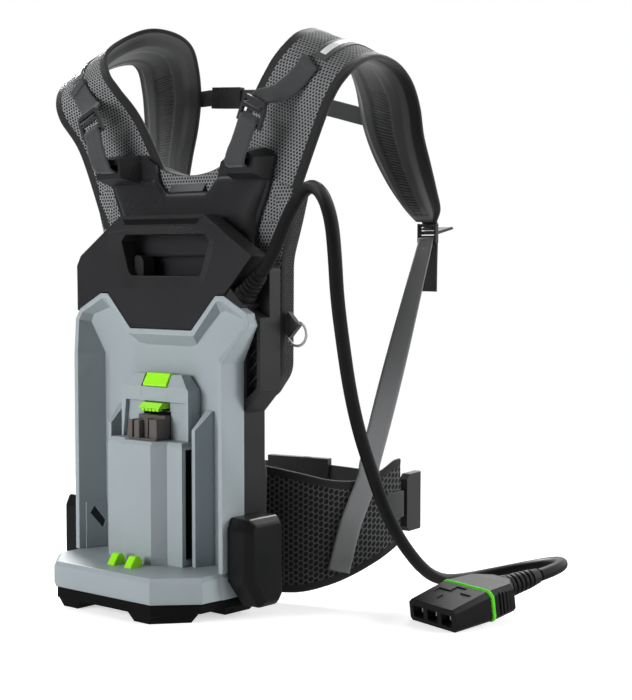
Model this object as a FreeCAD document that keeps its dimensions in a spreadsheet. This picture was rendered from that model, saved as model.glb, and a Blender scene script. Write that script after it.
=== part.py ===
import FreeCAD, Part
import Sketcher
import math
import os
import re

from FreeCAD import Vector

# Backpack battery carrier: a dock for a tool battery on a padded harness, with a power cable and plug.
# Millimetres. Z is up, the floor is Z = 0, X = 0 is the middle plane, the dock faces -Y, the wearer +Y.

SIZES = {
    "floor_gap": (10, "height of the feet under the base"),
    "shelf_low": (22, "underside of the grey shelf"),
    "shelf_top": (50, "top of the grey shelf"),
    "shelf_front": (106, "shelf front edge ahead of the middle"),
    "shelf_front_half": (76, "half width of the straight front edge"),
    "shelf_side_half": (109, "half width of the shelf at its corners"),
    "shelf_corner": (60, "depth where the shelf side starts"),
    "rim_front": (38, "tray rim ahead of the middle"),
    "rim_half": (117, "half width of the tray"),
    "rim_width": (6, "visible width of the rim"),
    "flare_low": (277, "height where the tray starts to flare"),
    "ear_half": (139.5, "half width at the ear corners"),
    "ear_corner": (324, "height of the ear corners"),
    "ear_top_half": (94.3, "half width at the top of the ears"),
    "ear_top": (346.3, "height of the top of the ears"),
    "notch_half": (50, "half width of the notch between the ears"),
    "notch_low": (308.7, "height of the notch"),
    "ear_front": (14.5, "ear rim ahead of the middle"),
    "tray_back": (3, "back of the tray behind the middle"),
    "recess_half": (80, "half width of the recess floor"),
    "recess_depth": (5, "recess side floor ahead of the middle"),
    "centre_half": (34, "half width of the deepest centre panel"),
    "facet_half": (57, "half width at the outer edge of its facets"),
    "housing_back": (30, "back of the dark housing"),
    "housing_wall": (4, "wall of the dark housing"),
    "pod_half": (140, "half width of the side pods"),
    "pod_low": (244, "height where the pods reach full width"),
    "pod_start": (220, "height where the pods start"),
    "pod_top": (384, "top of the pods"),
    "cover_front": (13, "front of the handle cover"),
    "cover_back": (12, "back of the handle cover"),
    "cover_top": (434, "top of the handle"),
    "cover_top_half": (65, "half width of the handle top"),
    "shoulder": (389, "height of the cover shoulders"),
    "shoulder_half": (137.5, "half width of the cover shoulders"),
    "grip_hole_top": (411.7, "top of the hand opening"),
    "grip_hole_low": (367, "bottom of the hand opening"),
    "grip_top_half": (59, "half width of the hand opening at its top"),
    "grip_low_half": (49, "half width of the hand opening at its bottom"),
    "tower_half": (53, "half width of the guide tower"),
    "tower_top": (258, "top of the guide tower"),
    "tower_top_half": (35.6, "half width of the tower top"),
    "tower_corner": (240, "height where the tower top is chamfered"),
    "tower_front": (24, "front of the upper tower"),
    "block_top": (181, "top of the lower tower block"),
    "block_half": (59, "half width of the lower tower block"),
    "block_step": (40, "front of the block's side steps"),
    "block_nose": (53, "front of the block's raised middle"),
    "block_nose_half": (23, "half width of the raised middle"),
    "rail_in": (64, "inner side of the guide rails"),
    "rail_out": (74, "outer side of the guide rails"),
    "rail_top": (236, "top of the guide rails"),
    "eject_x": (13.4, "eject pads beside the middle"),
    "eject_y": (70, "eject pads ahead of the middle"),
    "guard_out": (150, "outer side of the corner guards"),
    "guard_in": (117, "inner side of the corner guards"),
    "guard_top": (110, "top of the corner guards"),
    "guard_low": (12, "bottom of the corner guards"),
    "yoke_front": (30, "front of the harness plate"),
    "yoke_thick": (5, "thickness of the harness plate"),
    "pad_front": (35, "front of the back pad"),
    "pad_back": (60, "back of the back pad"),
    "strap_thick": (13, "thickness of the shoulder straps"),
    "belt_thick": (13, "thickness of the hip belt"),
    "webbing": (2.4, "thickness of the webbing"),
    "lifter_width": (27, "width of the load lifter webbing"),
    "pull_width": (25, "width of the strap pull webbing"),
    "belt_width": (30, "width of the hip belt webbing"),
    "sternum_width": (20, "width of the sternum webbing"),
    "plug_half": (40, "half width of the plug at its ring"),
    "ring_start": (48.5, "length of the plug's front shell"),
    "ring_end": (53.5, "where the plug's rear shell starts"),
    "boot_start": (100, "where the plug's boot starts"),
    "boot_end": (152, "length of the plug with its boot"),
    "spring_wire": (1, "wire of the hidden springs"),
    "screw_hole": (2.1, "radius of the screw holes in the base"),
    "cable": (14, "diameter of the power cable"),
    "wire": (3, "wire of the metal ring"),
    "ring_bore": (26, "clear width of the metal ring"),
    "lock_bar": (1.9, "radius of the round bars that the ladder locks tilt on"),
}

# The cable, the turned pieces and the metal ring are tubes of this many sides.
CABLE_SIDES = 8
TURNED_SIDES = 16
RING_SIDES = 8
SPRING_STEPS = 10

# Steps of the straps' surface between two stations.
STRAP_STEPS = 3

# Route of the power cable from the gland tip to the boot of the plug, chosen by hand.
CABLE_ROUTE = [
    (140, -2, 370), (155.2, -2, 385.9), (170, -6, 408), (187, -10, 433), (210, -18, 452), (238, -34, 460),
    (266, -50, 450), (286, -61, 424), (291, -62, 389), (284, -50, 348), (271, -25, 302), (258, 2, 253),
    (249, 29, 206), (242, 59, 162), (233, 92, 119), (226, 127, 81), (222, 162, 50), (217, 194, 29),
    (212, 225, 16), (209.5, 255, 9), (217, 285, 8.5), (236.5, 309, 13), (265, 322, 21), (296, 321.5, 30),
    (323.5, 307.5, 37), (342, 282.5, 40.5), (347.5, 252, 39.3), (342.4, 232.6, 36.5),
]

# Shoulder strap stations: neck edge and outer edge of the outer face, for the right strap.
STRAP_START = [
    ((49, 35.4, 497.9), (162, 35.4, 461.9)),
    ((80, 37, 544), (186, 34.5, 510)),
    ((113, 31, 584), (215, 27, 553)),
]
STRAP_RIGHT = STRAP_START + [
    ((132, 31, 606), (229, 34, 576)),
    ((145, 46, 627), (232, 56, 592)),
    ((139, 78, 637), (229, 86, 601)),
    ((126, 112, 640), (222, 120, 601)),
    ((118, 145, 637), (217, 148, 594)),
    ((117, 170, 618), (217, 167, 578)),
    ((122, 184, 586), (219, 177, 553)),
    ((128, 189, 545), (220, 183, 522)),
    ((139, 194, 508), (221, 194, 493)),
    ((156, 199, 474), (221, 206, 464)),
    ((172.2, 208.4, 446), (218.7, 216.6, 443)),
    ((182.5, 219.8, 430), (211.5, 221.1, 430)),
]
STRAP_LEFT = STRAP_START + [
    ((132, 31, 606), (228, 33, 581)),
    ((148, 44, 632), (234, 54, 602)),
    ((146, 74, 653), (232, 82, 618)),
    ((128, 99, 664), (222, 108, 631)),
    ((112, 126, 660), (211, 132, 636)),
    ((107, 149, 646), (208, 152, 627)),
    ((113, 167, 620), (212, 165, 602)),
    ((121, 179, 586), (216, 173, 570)),
    ((129, 182, 549), (217, 176, 538)),
    ((139, 182, 513), (218, 183, 505)),
    ((156, 190, 474), (218, 196, 470)),
    ((172, 203, 444), (215, 206, 444)),
    ((183, 213, 428), (207, 213, 429)),
]

# Places of the plug's sockets across its front.
PLUG_SOCKETS = (-23, 0, 23)

# Places of the four posts that carry the circuit board, and of the four screws of the base.
BOARD_POSTS_X = (-50, 50)
BOARD_POSTS_Z = (90, 190)
BASE_SCREWS = [(-20, -88), (20, -88), (-20, -4), (20, -4)]

# Blocks on the circuit board: left, right, bottom, top and how far ahead of the middle their front is.
BOARD_BLOCKS = [(-44, -12, 120, 160, 5), (4, 34, 96, 112, 6), (10, 40, 140, 172, 5.5)]

# Places of the slots of the terminal block across the tower.
TERMINAL_SLOTS = (-19, 0, 19)

# Hip belt wing stations: outer face (x, y) with the heights of its lower and upper edge.
BELT_STATIONS = [
    (0.2, 64, 14, 152), (58, 64.2, 10, 153), (86, 70, 9, 152), (122, 83, 11, 146), (150, 102, 20, 139),
    (170, 124, 32, 138), (184, 150, 46, 147), (189.5, 168, 56, 157), (190.7, 178.5, 62, 159),
]

# Where the right pull webbing lies on the hip belt, and the direction of its width there.
PULL_LANDING = [(179.6, 136.3, 157), (178.7, 133.2, 140), (167.8, 116.1, 88), (158.6, 107, 36)]
PULL_ACROSS = [(0.52, 0.85, 0), (0.52, 0.85, 0), (0.62, 0.78, 0), (0.673, 0.74, 0)]

document = FreeCAD.newDocument("BackpackBatteryCarrier")
sheet = document.addObject("Spreadsheet::Sheet", "Sizes")
for row, (alias, (number, note)) in enumerate(SIZES.items(), start=1):
    sheet.set(f"A{row}", alias)
    sheet.set(f"B{row}", str(number))
    sheet.set(f"C{row}", note)
    sheet.setAlias(f"B{row}", alias)
document.recompute()

PIECES = {}
WORD = re.compile(r"[a-z_][a-z0-9_]*")
ORIGIN_PLANES = {"XY": "XY_Plane", "XZ": "XZ_Plane", "YZ": "YZ_Plane"}


def bound(expression):
    """The expression with each named size written as a reference to the sheet."""
    return WORD.sub(lambda m: f"Sizes.{m.group(0)}" if m.group(0) in SIZES else m.group(0), str(expression))


def size(expression):
    """The number that an expression of named sizes gives."""
    return float(sheet.evalExpression(bound(expression)))


def mirrored(half):
    """A closed outline, symmetric in its first coordinate, from its right half listed upwards."""
    left = [(f"-({x})", z) for x, z in reversed(half) if str(x) != "0"]
    return list(half) + left


def box(left, right, low, high):
    """A rectangle between two values of each coordinate."""
    return [(f"{left}", f"{low}"), (f"{right}", f"{low}"), (f"{right}", f"{high}"), (f"{left}", f"{high}")]


def flipped(outline):
    """The mirror image of an outline in its first coordinate."""
    return [(f"-({x})", z) for x, z in outline]


def new_body(label):
    """An empty body that becomes the piece of this name."""
    body = document.addObject("PartDesign::Body", label)
    body.Label = label
    PIECES[label] = body
    return body


def origin_plane(body, name):
    """The body's own origin plane of this name."""
    wanted = ORIGIN_PLANES[name]
    return next(item for item in body.Origin.OriginFeatures if item.Role == wanted)


def outline_sketch(body, plane, outline, level):
    """A closed sketch of straight lines whose corners are held by distances from the sheet."""
    sketch = body.newObject("Sketcher::SketchObject", f"{body.Name}_outline")
    sketch.AttachmentSupport = [(origin_plane(body, plane), "")]
    sketch.MapMode = "FlatFace"
    sign = "-" if plane == "XZ" else ""
    sketch.setExpression("AttachmentOffset.Base.z", f"{sign}({bound(level)})")
    corners = [Vector(size(u), size(v), 0) for u, v in outline]
    count = len(corners)
    sketch.addGeometry([Part.LineSegment(corners[i], corners[(i + 1) % count]) for i in range(count)], False)
    ties = [Sketcher.Constraint("Coincident", i, 2, (i + 1) % count, 1) for i in range(count)]
    for i, corner in enumerate(corners):
        ties.append(Sketcher.Constraint("DistanceX", -1, 1, i, 1, corner.x))
        ties.append(Sketcher.Constraint("DistanceY", -1, 1, i, 1, corner.y))
    sketch.addConstraint(ties)
    for i, (u, v) in enumerate(outline):
        if WORD.search(str(u)):
            sketch.setExpression(f"Constraints[{count + 2 * i}]", bound(u))
        if WORD.search(str(v)):
            sketch.setExpression(f"Constraints[{count + 2 * i + 1}]", bound(v))
    return sketch


def pad(body, plane, outline, low, high):
    """Material between two levels of the axis square to the plane."""
    start = high if plane == "XZ" else low
    sketch = outline_sketch(body, plane, outline, start)
    feature = body.newObject("PartDesign::Pad", f"{body.Name}_pad")
    feature.Profile = sketch
    feature.setExpression("Length", bound(f"({high}) - ({low})"))
    return feature


def cut(body, plane, outline, low, high):
    """A pocket between two levels of the axis square to the plane."""
    start = low if plane == "XZ" else high
    sketch = outline_sketch(body, plane, outline, start)
    feature = body.newObject("PartDesign::Pocket", f"{body.Name}_pocket")
    feature.Profile = sketch
    feature.setExpression("Length", bound(f"({high}) - ({low})"))
    return feature


def loft(body, kind, plane, first, first_level, second, second_level):
    """A ruled loft between two outlines with the same number of corners; kind is Additive or Subtractive."""
    start = outline_sketch(body, plane, first, first_level)
    end = outline_sketch(body, plane, second, second_level)
    feature = body.newObject(f"PartDesign::{kind}Loft", f"{body.Name}_loft")
    feature.Profile = start
    feature.Sections = [end]
    feature.Ruled = True
    return feature


def edges_near(shape, test):
    """Names of the edges whose middle point and direction pass the test."""
    names = []
    for index, edge in enumerate(shape.Edges, start=1):
        middle = edge.valueAt((edge.FirstParameter + edge.LastParameter) / 2)
        along = edge.tangentAt((edge.FirstParameter + edge.LastParameter) / 2)
        if test(middle, along):
            names.append(f"Edge{index}")
    return names


def soften(body, kind, amount, test):
    """Fillets or chamfers on the edges of the body's tip that pass the test."""
    document.recompute()
    base = body.Tip
    names = edges_near(base.Shape, test)
    feature = body.newObject(f"PartDesign::{kind}", f"{body.Name}_{kind.lower()}")
    feature.Base = (base, names)
    feature.setExpression("Radius" if kind == "Fillet" else "Size", bound(amount))
    return feature


def formed(label, shape):
    """A piece whose solid comes from Part's own functions."""
    feature = document.addObject("Part::Feature", label)
    feature.Label = label
    feature.Shape = shape
    feature.Placement = shape.Placement
    PIECES[label] = feature
    return feature


def unit(vector):
    """The vector at length one."""
    copy = Vector(vector)
    copy.normalize()
    return copy


def side_of(name):
    """+1 for the right side and -1 for the left."""
    return 1 if name == "right" else -1


def on_side(point, sign):
    """A point of the right side, or its mirror image."""
    return Vector(sign * point[0], point[1], point[2])


def strap_section(neck, outer, inward, thick):
    """Corners of a strap's cross-section: flat outer face, rounded edges and a crowned inner face."""
    along = unit(outer - neck)
    width = (outer - neck).Length
    edge = [(0.26, 0.0), (0.06, 0.12), (0.0, 0.42), (0.06, 0.78), (0.4, 1.02)]
    corners = [neck + along * (thick * x) + inward * (thick * y) for x, y in edge]
    corners += [neck + along * (width * share) + inward * (thick * 1.2) for share in (0.35, 0.65)]
    corners += [outer - along * (thick * x) + inward * (thick * y) for x, y in reversed(edge)]
    return corners


def smoothed(stations):
    """The stations with STRAP_STEPS steps between each two, on a cubic curve through them (Catmull-Rom)."""
    points = [[Vector(*edge) for edge in station] for station in stations]
    result = []
    for i in range(len(points) - 1):
        around = [points[max(i - 1, 0)], points[i], points[i + 1], points[min(i + 2, len(points) - 1)]]
        for step in range(STRAP_STEPS):
            t = step / STRAP_STEPS
            weights = (t * (-1 + t * (2 - t)) / 2, 1 + t * t * (3 * t - 5) / 2,
                       t * (1 + t * (4 - 3 * t)) / 2, t * t * (t - 1) / 2)
            pair = []
            for k in (0, 1):
                place = Vector(0, 0, 0)
                for weight, station in zip(weights, around):
                    place = place + station[k] * weight
                pair.append(place)
            result.append(pair)
    return result + [points[-1]]


def strap_frames(stations, sign):
    """For each smoothed station its neck edge, its outer edge and the direction towards the wearer."""
    frames = []
    stations = smoothed(stations)
    for i, (neck, outer) in enumerate(stations):
        before = stations[max(i - 1, 0)]
        after = stations[min(i + 1, len(stations) - 1)]
        along = [on_side(after[k], sign) - on_side(before[k], sign) for k in (0, 1)]
        across = on_side(outer, sign) - on_side(neck, sign)
        inward = unit((along[0] + along[1]).cross(across)) * sign
        frames.append((on_side(neck, sign), on_side(outer, sign), inward))
    return frames


def strap_solid(stations, sign, thick):
    """A strap through the stations; its inner face lies on the wearer's side."""
    frames = strap_frames(stations, sign)
    return faceted([strap_section(neck, outer, inward, thick) for neck, outer, inward in frames])


def band_solid(points, wide, width, thick):
    """A flat webbing band through the points; wide gives the direction of its width at each point."""
    rings = []
    for i, point in enumerate(points):
        before = points[max(i - 1, 0)]
        after = points[min(i + 1, len(points) - 1)]
        along = unit(after - before)
        across = wide[i] if isinstance(wide, list) else wide
        across = unit(across - along * across.dot(along))
        half = across * (width / 2)
        lift = along.cross(across) * (thick / 2)
        rings.append([point - half - lift, point + half - lift, point + half + lift, point - half + lift])
    return faceted(rings)


def faceted(rings, closed=False):
    """A solid through rings of corners, each side between two rings as two flat triangles."""
    def triangle(a, b, c):
        return Part.Face(Part.makePolygon([a, b, c, a]))
    faces = []
    pairs = list(zip(rings, rings[1:])) + ([(rings[-1], rings[0])] if closed else [])
    for low, high in pairs:
        for i, corner in enumerate(low):
            j = (i + 1) % len(low)
            faces.append(triangle(corner, low[j], high[j]))
            faces.append(triangle(corner, high[j], high[i]))
    for ring in [] if closed else [rings[0], rings[-1]]:
        faces += [triangle(ring[0], ring[i], ring[i + 1]) for i in range(1, len(ring) - 1)]
    solid = Part.Solid(Part.Shell(faces))
    if solid.Volume < 0:
        solid.reverse()
    return solid


def frame_at(origin, x_axis, z_axis):
    """A placement with its X and Z axes along the given directions."""
    x_axis = unit(x_axis)
    z_axis = unit(z_axis - x_axis * z_axis.dot(x_axis))
    return FreeCAD.Placement(Vector(origin), FreeCAD.Rotation(x_axis, z_axis.cross(x_axis), z_axis, "ZXY"))


def drill(body, centres, radius, low, high):
    """Round holes along Z between two levels."""
    sketch = body.newObject("Sketcher::SketchObject", f"{body.Name}_holes")
    sketch.AttachmentSupport = [(origin_plane(body, "XY"), "")]
    sketch.MapMode = "FlatFace"
    sketch.setExpression("AttachmentOffset.Base.z", bound(high))
    for i, (x, y) in enumerate(centres):
        sketch.addGeometry(Part.Circle(Vector(x, y, 0), Vector(0, 0, 1), size(radius)), False)
        sketch.addConstraint([Sketcher.Constraint("DistanceX", -1, 1, i, 3, x),
                              Sketcher.Constraint("DistanceY", -1, 1, i, 3, y),
                              Sketcher.Constraint("Radius", i, size(radius))])
        sketch.setExpression(f"Constraints[{3 * i + 2}]", bound(radius))
    feature = body.newObject("PartDesign::Pocket", f"{body.Name}_drilled")
    feature.Profile = sketch
    feature.setExpression("Length", bound(f"({high}) - ({low})"))
    return feature


def cross_bar(body, height, radius, reach):
    """A round bar along X through the body's own frame, at a height, as long each way as the reach."""
    sketch = body.newObject("Sketcher::SketchObject", f"{body.Name}_bar_outline")
    sketch.AttachmentSupport = [(origin_plane(body, "YZ"), "")]
    sketch.MapMode = "FlatFace"
    sketch.setExpression("AttachmentOffset.Base.z", bound(f"-({reach})"))
    sketch.addGeometry(Part.Circle(Vector(0, size(height), 0), Vector(0, 0, 1), size(radius)), False)
    sketch.addConstraint([Sketcher.Constraint("PointOnObject", 0, 3, -2),
                          Sketcher.Constraint("DistanceY", -1, 1, 0, 3, size(height)),
                          Sketcher.Constraint("Radius", 0, size(radius))])
    sketch.setExpression("Constraints[2]", bound(radius))
    feature = body.newObject("PartDesign::Pad", f"{body.Name}_bar")
    feature.Profile = sketch
    feature.setExpression("Length", bound(f"2 * ({reach})"))
    return feature


def turned(label, base, axis, profile):
    """A faceted turned piece about an axis, from pairs of distance along it and radius."""
    along = unit(axis)
    spoke = unit(along.cross(Vector(0, 1, 0)))
    spokes = [FreeCAD.Rotation(along, 360 * i / TURNED_SIDES).multVec(spoke) for i in range(TURNED_SIDES)]
    rings = [[base + along * distance + arm * radius for arm in spokes] for distance, radius in profile]
    return formed(label, faceted(rings))


def ringed(start, end, first, last, rings, depth):
    """Profile of a cone with equal rings between two radii; each ring ends in a groove."""
    pitch = (end - start) / rings
    profile = []
    for i in range(rings):
        near = first + (last - first) * i / rings
        far = first + (last - first) * (i + 0.6) / rings
        at = start + pitch * i
        edge = at + pitch * 0.6
        profile += [(at, near), (edge, far), (edge, far - depth), (at + pitch, far - depth)]
    return profile


def housing():
    """Dark rear housing: an open-fronted shell with a pod on each side that ends in a round shoulder."""
    body = new_body("rear_housing")
    low = [("rim_half", "shelf_low"), ("rim_half", "pod_start"), ("pod_half", "pod_low")]
    front = mirrored(low + [("pod_half", "ear_corner - 1"), ("ear_top_half", "ear_top - 1"),
                            ("notch_half", "notch_low - 1")])
    rear = mirrored(low + [("pod_half", "pod_top - 9"), ("pod_half - 9", "pod_top"),
                           ("grip_top_half + 37", "pod_top"), ("grip_top_half + 16", "grip_hole_low - 15")])
    pad(body, "XZ", rear, "cover_back + 0.5", "housing_back")
    pad(body, "XZ", front, "-3", "cover_back + 0.5")
    inner = "rim_half - housing_wall"
    cavity = mirrored([(inner, "shelf_top - 4"), (inner, "flare_low + 6"), ("notch_half", "flare_low + 20")])
    cut(body, "XZ", cavity, "-3", "housing_back - housing_wall")
    vent = [("pod_half - 5", "pod_low + 4"), ("pod_half - 5", "ear_corner - 4"),
            ("rim_half + 3", "ear_corner - 22"), ("rim_half + 3", "pod_low - 8")]
    cut(body, "XZ", vent, "-3", "9")
    cut(body, "XZ", flipped(vent), "-3", "9")
    soften(body, "Fillet", "5", lambda p, t: abs(t.y) > 0.9 and p.z > size("pod_top - 12"))
    boss = [("98.4", "344.8"), ("122.4", "333"), ("125.88", "336.42"), ("107.1", "354.38")]
    root = [("98", "342"), ("121.5", "331"), ("125.88", "336.42"), ("107.1", "354.38")]
    pad(body, "XZ", root, "-3", "cover_back + 1")
    pad(body, "XZ", boss, "-14", "-3")
    for x in BOARD_POSTS_X:
        for z in BOARD_POSTS_Z:
            pad(body, "XZ", box(x - 4, x + 4, z - 4, z + 4), "12", "housing_back - housing_wall")


def board():
    """Circuit board on four posts inside the housing, with its switch block, fuse and coil."""
    body = new_body("circuit_board")
    plate = mirrored([("58", "82"), ("58", "198")])
    pad(body, "XZ", plate, "10.4", "12")
    for left, right, low, high, front in BOARD_BLOCKS:
        pad(body, "XZ", box(left, right, low, high), f"{front}", "10.4")


def cover():
    """Black front cover with the carrying handle; its right shoulder is cut away for the cable gland."""
    body = new_body("front_cover")
    outline = [("-(notch_half + 0.4)", "notch_low + 0.8"), ("notch_half + 0.4", "notch_low + 0.8"),
               ("ear_top_half", "ear_top + 0.9"), ("shoulder_half", "shoulder"),
               ("cover_top_half + 5", "cover_top - 3"), ("cover_top_half", "cover_top"),
               ("-cover_top_half", "cover_top"), ("-(cover_top_half + 5)", "cover_top - 3"),
               ("-(shoulder_half - 4)", "shoulder - 1"), ("-ear_half", "shoulder - 12"),
               ("-ear_half", "ear_corner + 0.8"), ("-ear_top_half", "ear_top + 0.9")]
    pad(body, "XZ", outline, "-cover_front", "cover_back")
    hole = mirrored([("grip_low_half", "grip_hole_low"), ("grip_low_half + 4", "grip_hole_low + 5"),
                     ("grip_top_half", "grip_hole_top - 7"), ("grip_top_half - 5", "grip_hole_top")])
    wide = mirrored([("grip_low_half + 7", "grip_hole_low - 9"), ("grip_low_half + 15", "grip_hole_low"),
                     ("grip_top_half + 8", "grip_hole_top - 5"), ("grip_top_half + 1", "grip_hole_top + 4")])
    cut(body, "XZ", hole, "-cover_front", "cover_back")
    loft(body, "Subtractive", "XZ", wide, "-cover_front", hole, "-cover_front + 9")
    groove = mirrored([("cover_top_half - 9", "cover_top - 9"), ("cover_top_half - 5", "cover_top - 3.5")])
    cut(body, "XZ", groove, "-cover_front", "-cover_front + 4")
    rear_edge = size("cover_back") - 0.1
    soften(body, "Chamfer", "3", lambda p, t: p.y > rear_edge and abs(t.y) < 0.1
           and size("grip_hole_top") - 1 < p.z and abs(p.x) < size("cover_top_half") + 4)


def tray():
    """Grey dock tray: a rim that flares into two ears, a faceted recess and the battery shelf."""
    body = new_body("dock_tray")
    outer = mirrored([("rim_half", "shelf_low"), ("rim_half", "flare_low"), ("ear_half", "ear_corner"),
                      ("ear_top_half", "ear_top"), ("notch_half", "notch_low")])
    pad(body, "XZ", outer, "-rim_front", "-3")
    inside = "rim_half - housing_wall - 0.5"
    plug_in = mirrored([(inside, "shelf_top - 3.5"), (inside, "flare_low + 5.5"),
                        ("notch_half - 1", "flare_low + 19")])
    pad(body, "XZ", plug_in, "-3", "tray_back")
    shelf = mirrored([("shelf_front_half", "-shelf_front"), ("shelf_side_half", "-shelf_corner"),
                      ("shelf_side_half", "-rim_front"), ("rim_half", "-rim_front + 2"), ("rim_half", "-3")])
    pad(body, "XY", shelf, "shelf_low", "shelf_top")
    slope = [("-rim_front - 20", "flare_low - 4"), ("-rim_front", "flare_low - 4"),
             ("-ear_front", "ear_corner - 2"), ("-ear_front", "ear_top + 10"),
             ("-rim_front - 20", "ear_top + 10")]
    cut(body, "YZ", slope, "-ear_half - 5", "ear_half + 5")
    mouth = mirrored([("rim_half - rim_width", "shelf_top"), ("rim_half - rim_width", "flare_low + 2"),
                      ("ear_half - 8", "ear_corner - 2"), ("ear_top_half", "ear_top - 7"),
                      ("notch_half + 3.5", "notch_low - 6")])
    floor = mirrored([("recess_half", "shelf_top"), ("recess_half", "flare_low - 2"),
                      ("recess_half + 8", "ear_corner - 30"), ("recess_half", "ear_top - 46"),
                      ("notch_half - 4", "notch_low - 18")])
    loft(body, "Subtractive", "XZ", mouth, "-rim_front", floor, "-recess_depth")
    centre = [("-facet_half", "-recess_depth - 1"), ("-facet_half", "-recess_depth"), ("-centre_half", "0.4"),
              ("centre_half", "0.4"), ("facet_half", "-recess_depth"), ("facet_half", "-recess_depth - 1")]
    cut(body, "XY", centre, "shelf_top", "notch_low - 19")
    rim = size("rim_front")
    top = size("shelf_top")
    soften(body, "Chamfer", "4", lambda p, t: abs(p.z - top) < 0.1 and p.y < -rim - 20 and abs(t.z) < 0.1)
    for x in ("-eject_x", "eject_x"):
        well = box(f"{x} - 6.2", f"{x} + 6.2", "-eject_y - 9.5", "-eject_y + 9.5")
        cut(body, "XY", well, "shelf_low", "shelf_top")


def tower():
    """Guide tower: the raised block that a battery slides down over, with side rails and latch openings."""
    body = new_body("dock_tower")
    upper = mirrored([("tower_half", "shelf_top + 0.2"), ("tower_half", "tower_corner"),
                      ("tower_top_half", "tower_top")])
    pad(body, "XZ", upper, "-tower_front", "-recess_depth - 0.1")
    pad(body, "XZ", mirrored([("centre_half - 1", "shelf_top + 0.2"), ("centre_half - 1", "tower_corner")]),
        "-recess_depth - 0.1", "0.2")
    block = [("block_half", "-8"), ("block_half", "-block_step"), ("block_nose_half + 13", "-block_step"),
             ("block_nose_half", "-block_nose")]
    pad(body, "XY", block + flipped(list(reversed(block))), "shelf_top + 0.2", "block_top")
    notch = mirrored([("tower_half - 2", "block_top"), ("tower_half - 8", "tower_corner - 12.5")])
    cut(body, "XZ", notch, "-tower_front", "-tower_front + 5")
    for sign in ("", "-"):
        rail = [(f"{sign}rail_in", "-8"), (f"{sign}rail_in", "-30"), (f"{sign}(rail_in + 5)", "-30"),
                (f"{sign}rail_out", "-8")]
        pad(body, "XY", rail, "shelf_top + 0.2", "rail_top")
        foot = [(f"{sign}tower_half - {sign}4", "-8"), (f"{sign}tower_half - {sign}4", "-recess_depth - 0.1"),
                (f"{sign}rail_out", "-recess_depth - 0.1"), (f"{sign}rail_out", "-8")]
        pad(body, "XY", foot, "shelf_top + 0.2", "rail_top")
    slope = [("-31", "rail_top - 34"), ("-8.2", "rail_top + 1"), ("-31", "rail_top + 1")]
    cut(body, "YZ", slope, "rail_in - 2", "rail_out + 2")
    cut(body, "YZ", slope, "-rail_out - 2", "-rail_in + 2")
    ahead = "-tower_front - 1"
    cut(body, "YZ", [(ahead, "tower_corner + 2"), ("-17", "tower_top + 1"), (ahead, "tower_top + 1")],
        "-tower_half - 1", "tower_half + 1")
    shaft = box(-20.6, 20.6, 230, 260)
    cut(body, "XZ", shaft, "-tower_front - 2", "-6")
    slot = box(-19.6, 19.6, 218, 226.6)
    cut(body, "XZ", slot, "-tower_front - 2", "-2")
    port = box(-27.3, 27.3, "block_top", 208)
    cut(body, "XZ", port, "-tower_front - 2", "-12")


def base():
    """Black base under the shelf with four tapered feet."""
    body = new_body("base_plate")
    plate = mirrored([("shelf_front_half - 2", "-shelf_front + 3"),
                      ("shelf_side_half - 2", "-shelf_corner - 1"),
                      ("shelf_side_half", "-10"), ("rim_half - 2", "housing_back - 1")])
    pad(body, "XY", plate, "floor_gap", "shelf_low")
    for sign in ("", "-"):
        high = [(f"{sign}38", "-shelf_front + 4"), (f"{sign}shelf_front_half - {sign}3", "-shelf_front + 4"),
                (f"{sign}shelf_side_half - {sign}4", "-shelf_corner - 2"), (f"{sign}38", "-shelf_corner - 2")]
        low = [(f"{sign}45", "-shelf_front + 7"), (f"{sign}shelf_front_half - {sign}8", "-shelf_front + 7"),
               (f"{sign}shelf_side_half - {sign}12", "-shelf_corner - 5"), (f"{sign}45", "-shelf_corner - 5")]
        loft(body, "Additive", "XY", high, "floor_gap", low, "0")
        high = [(f"{sign}60", "-22"), (f"{sign}shelf_side_half - {sign}3", "-22"),
                (f"{sign}shelf_side_half", "housing_back - 3"), (f"{sign}60", "housing_back - 3")]
        low = [(f"{sign}66", "-16"), (f"{sign}shelf_side_half - {sign}9", "-16"),
               (f"{sign}shelf_side_half - {sign}8", "housing_back - 8"), (f"{sign}66", "housing_back - 8")]
        loft(body, "Additive", "XY", high, "floor_gap", low, "0")
        well = box(f"{sign}eject_x - 6.2", f"{sign}eject_x + 6.2", "-eject_y - 9.5", "-eject_y + 9.5")
        cut(body, "XY", well, "shelf_low - 6", "shelf_low")
    drill(body, BASE_SCREWS, "screw_hole", "floor_gap", "shelf_low")


def hexagon(radius, centre, height):
    """An upright six-sided prism."""
    turns = [FreeCAD.Rotation(Vector(0, 0, 1), 60 * i) for i in range(6)]
    corners = [centre + turn.multVec(Vector(radius, 0, 0)) for turn in turns]
    return Part.Face(Part.makePolygon(corners + corners[:1])).extrude(Vector(0, 0, height))


def base_screws():
    """Hexagon-head screws that hold the base to the tray."""
    screws = []
    for x, y in BASE_SCREWS:
        under = size("floor_gap")
        head = hexagon(4, Vector(x, y, under - 3), 3)
        shank = hexagon(size("screw_hole") - 0.1, Vector(x, y, under), 11)
        screws.append(head.fuse(shank))
    formed("base_screws", Part.makeCompound(screws))


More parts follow.
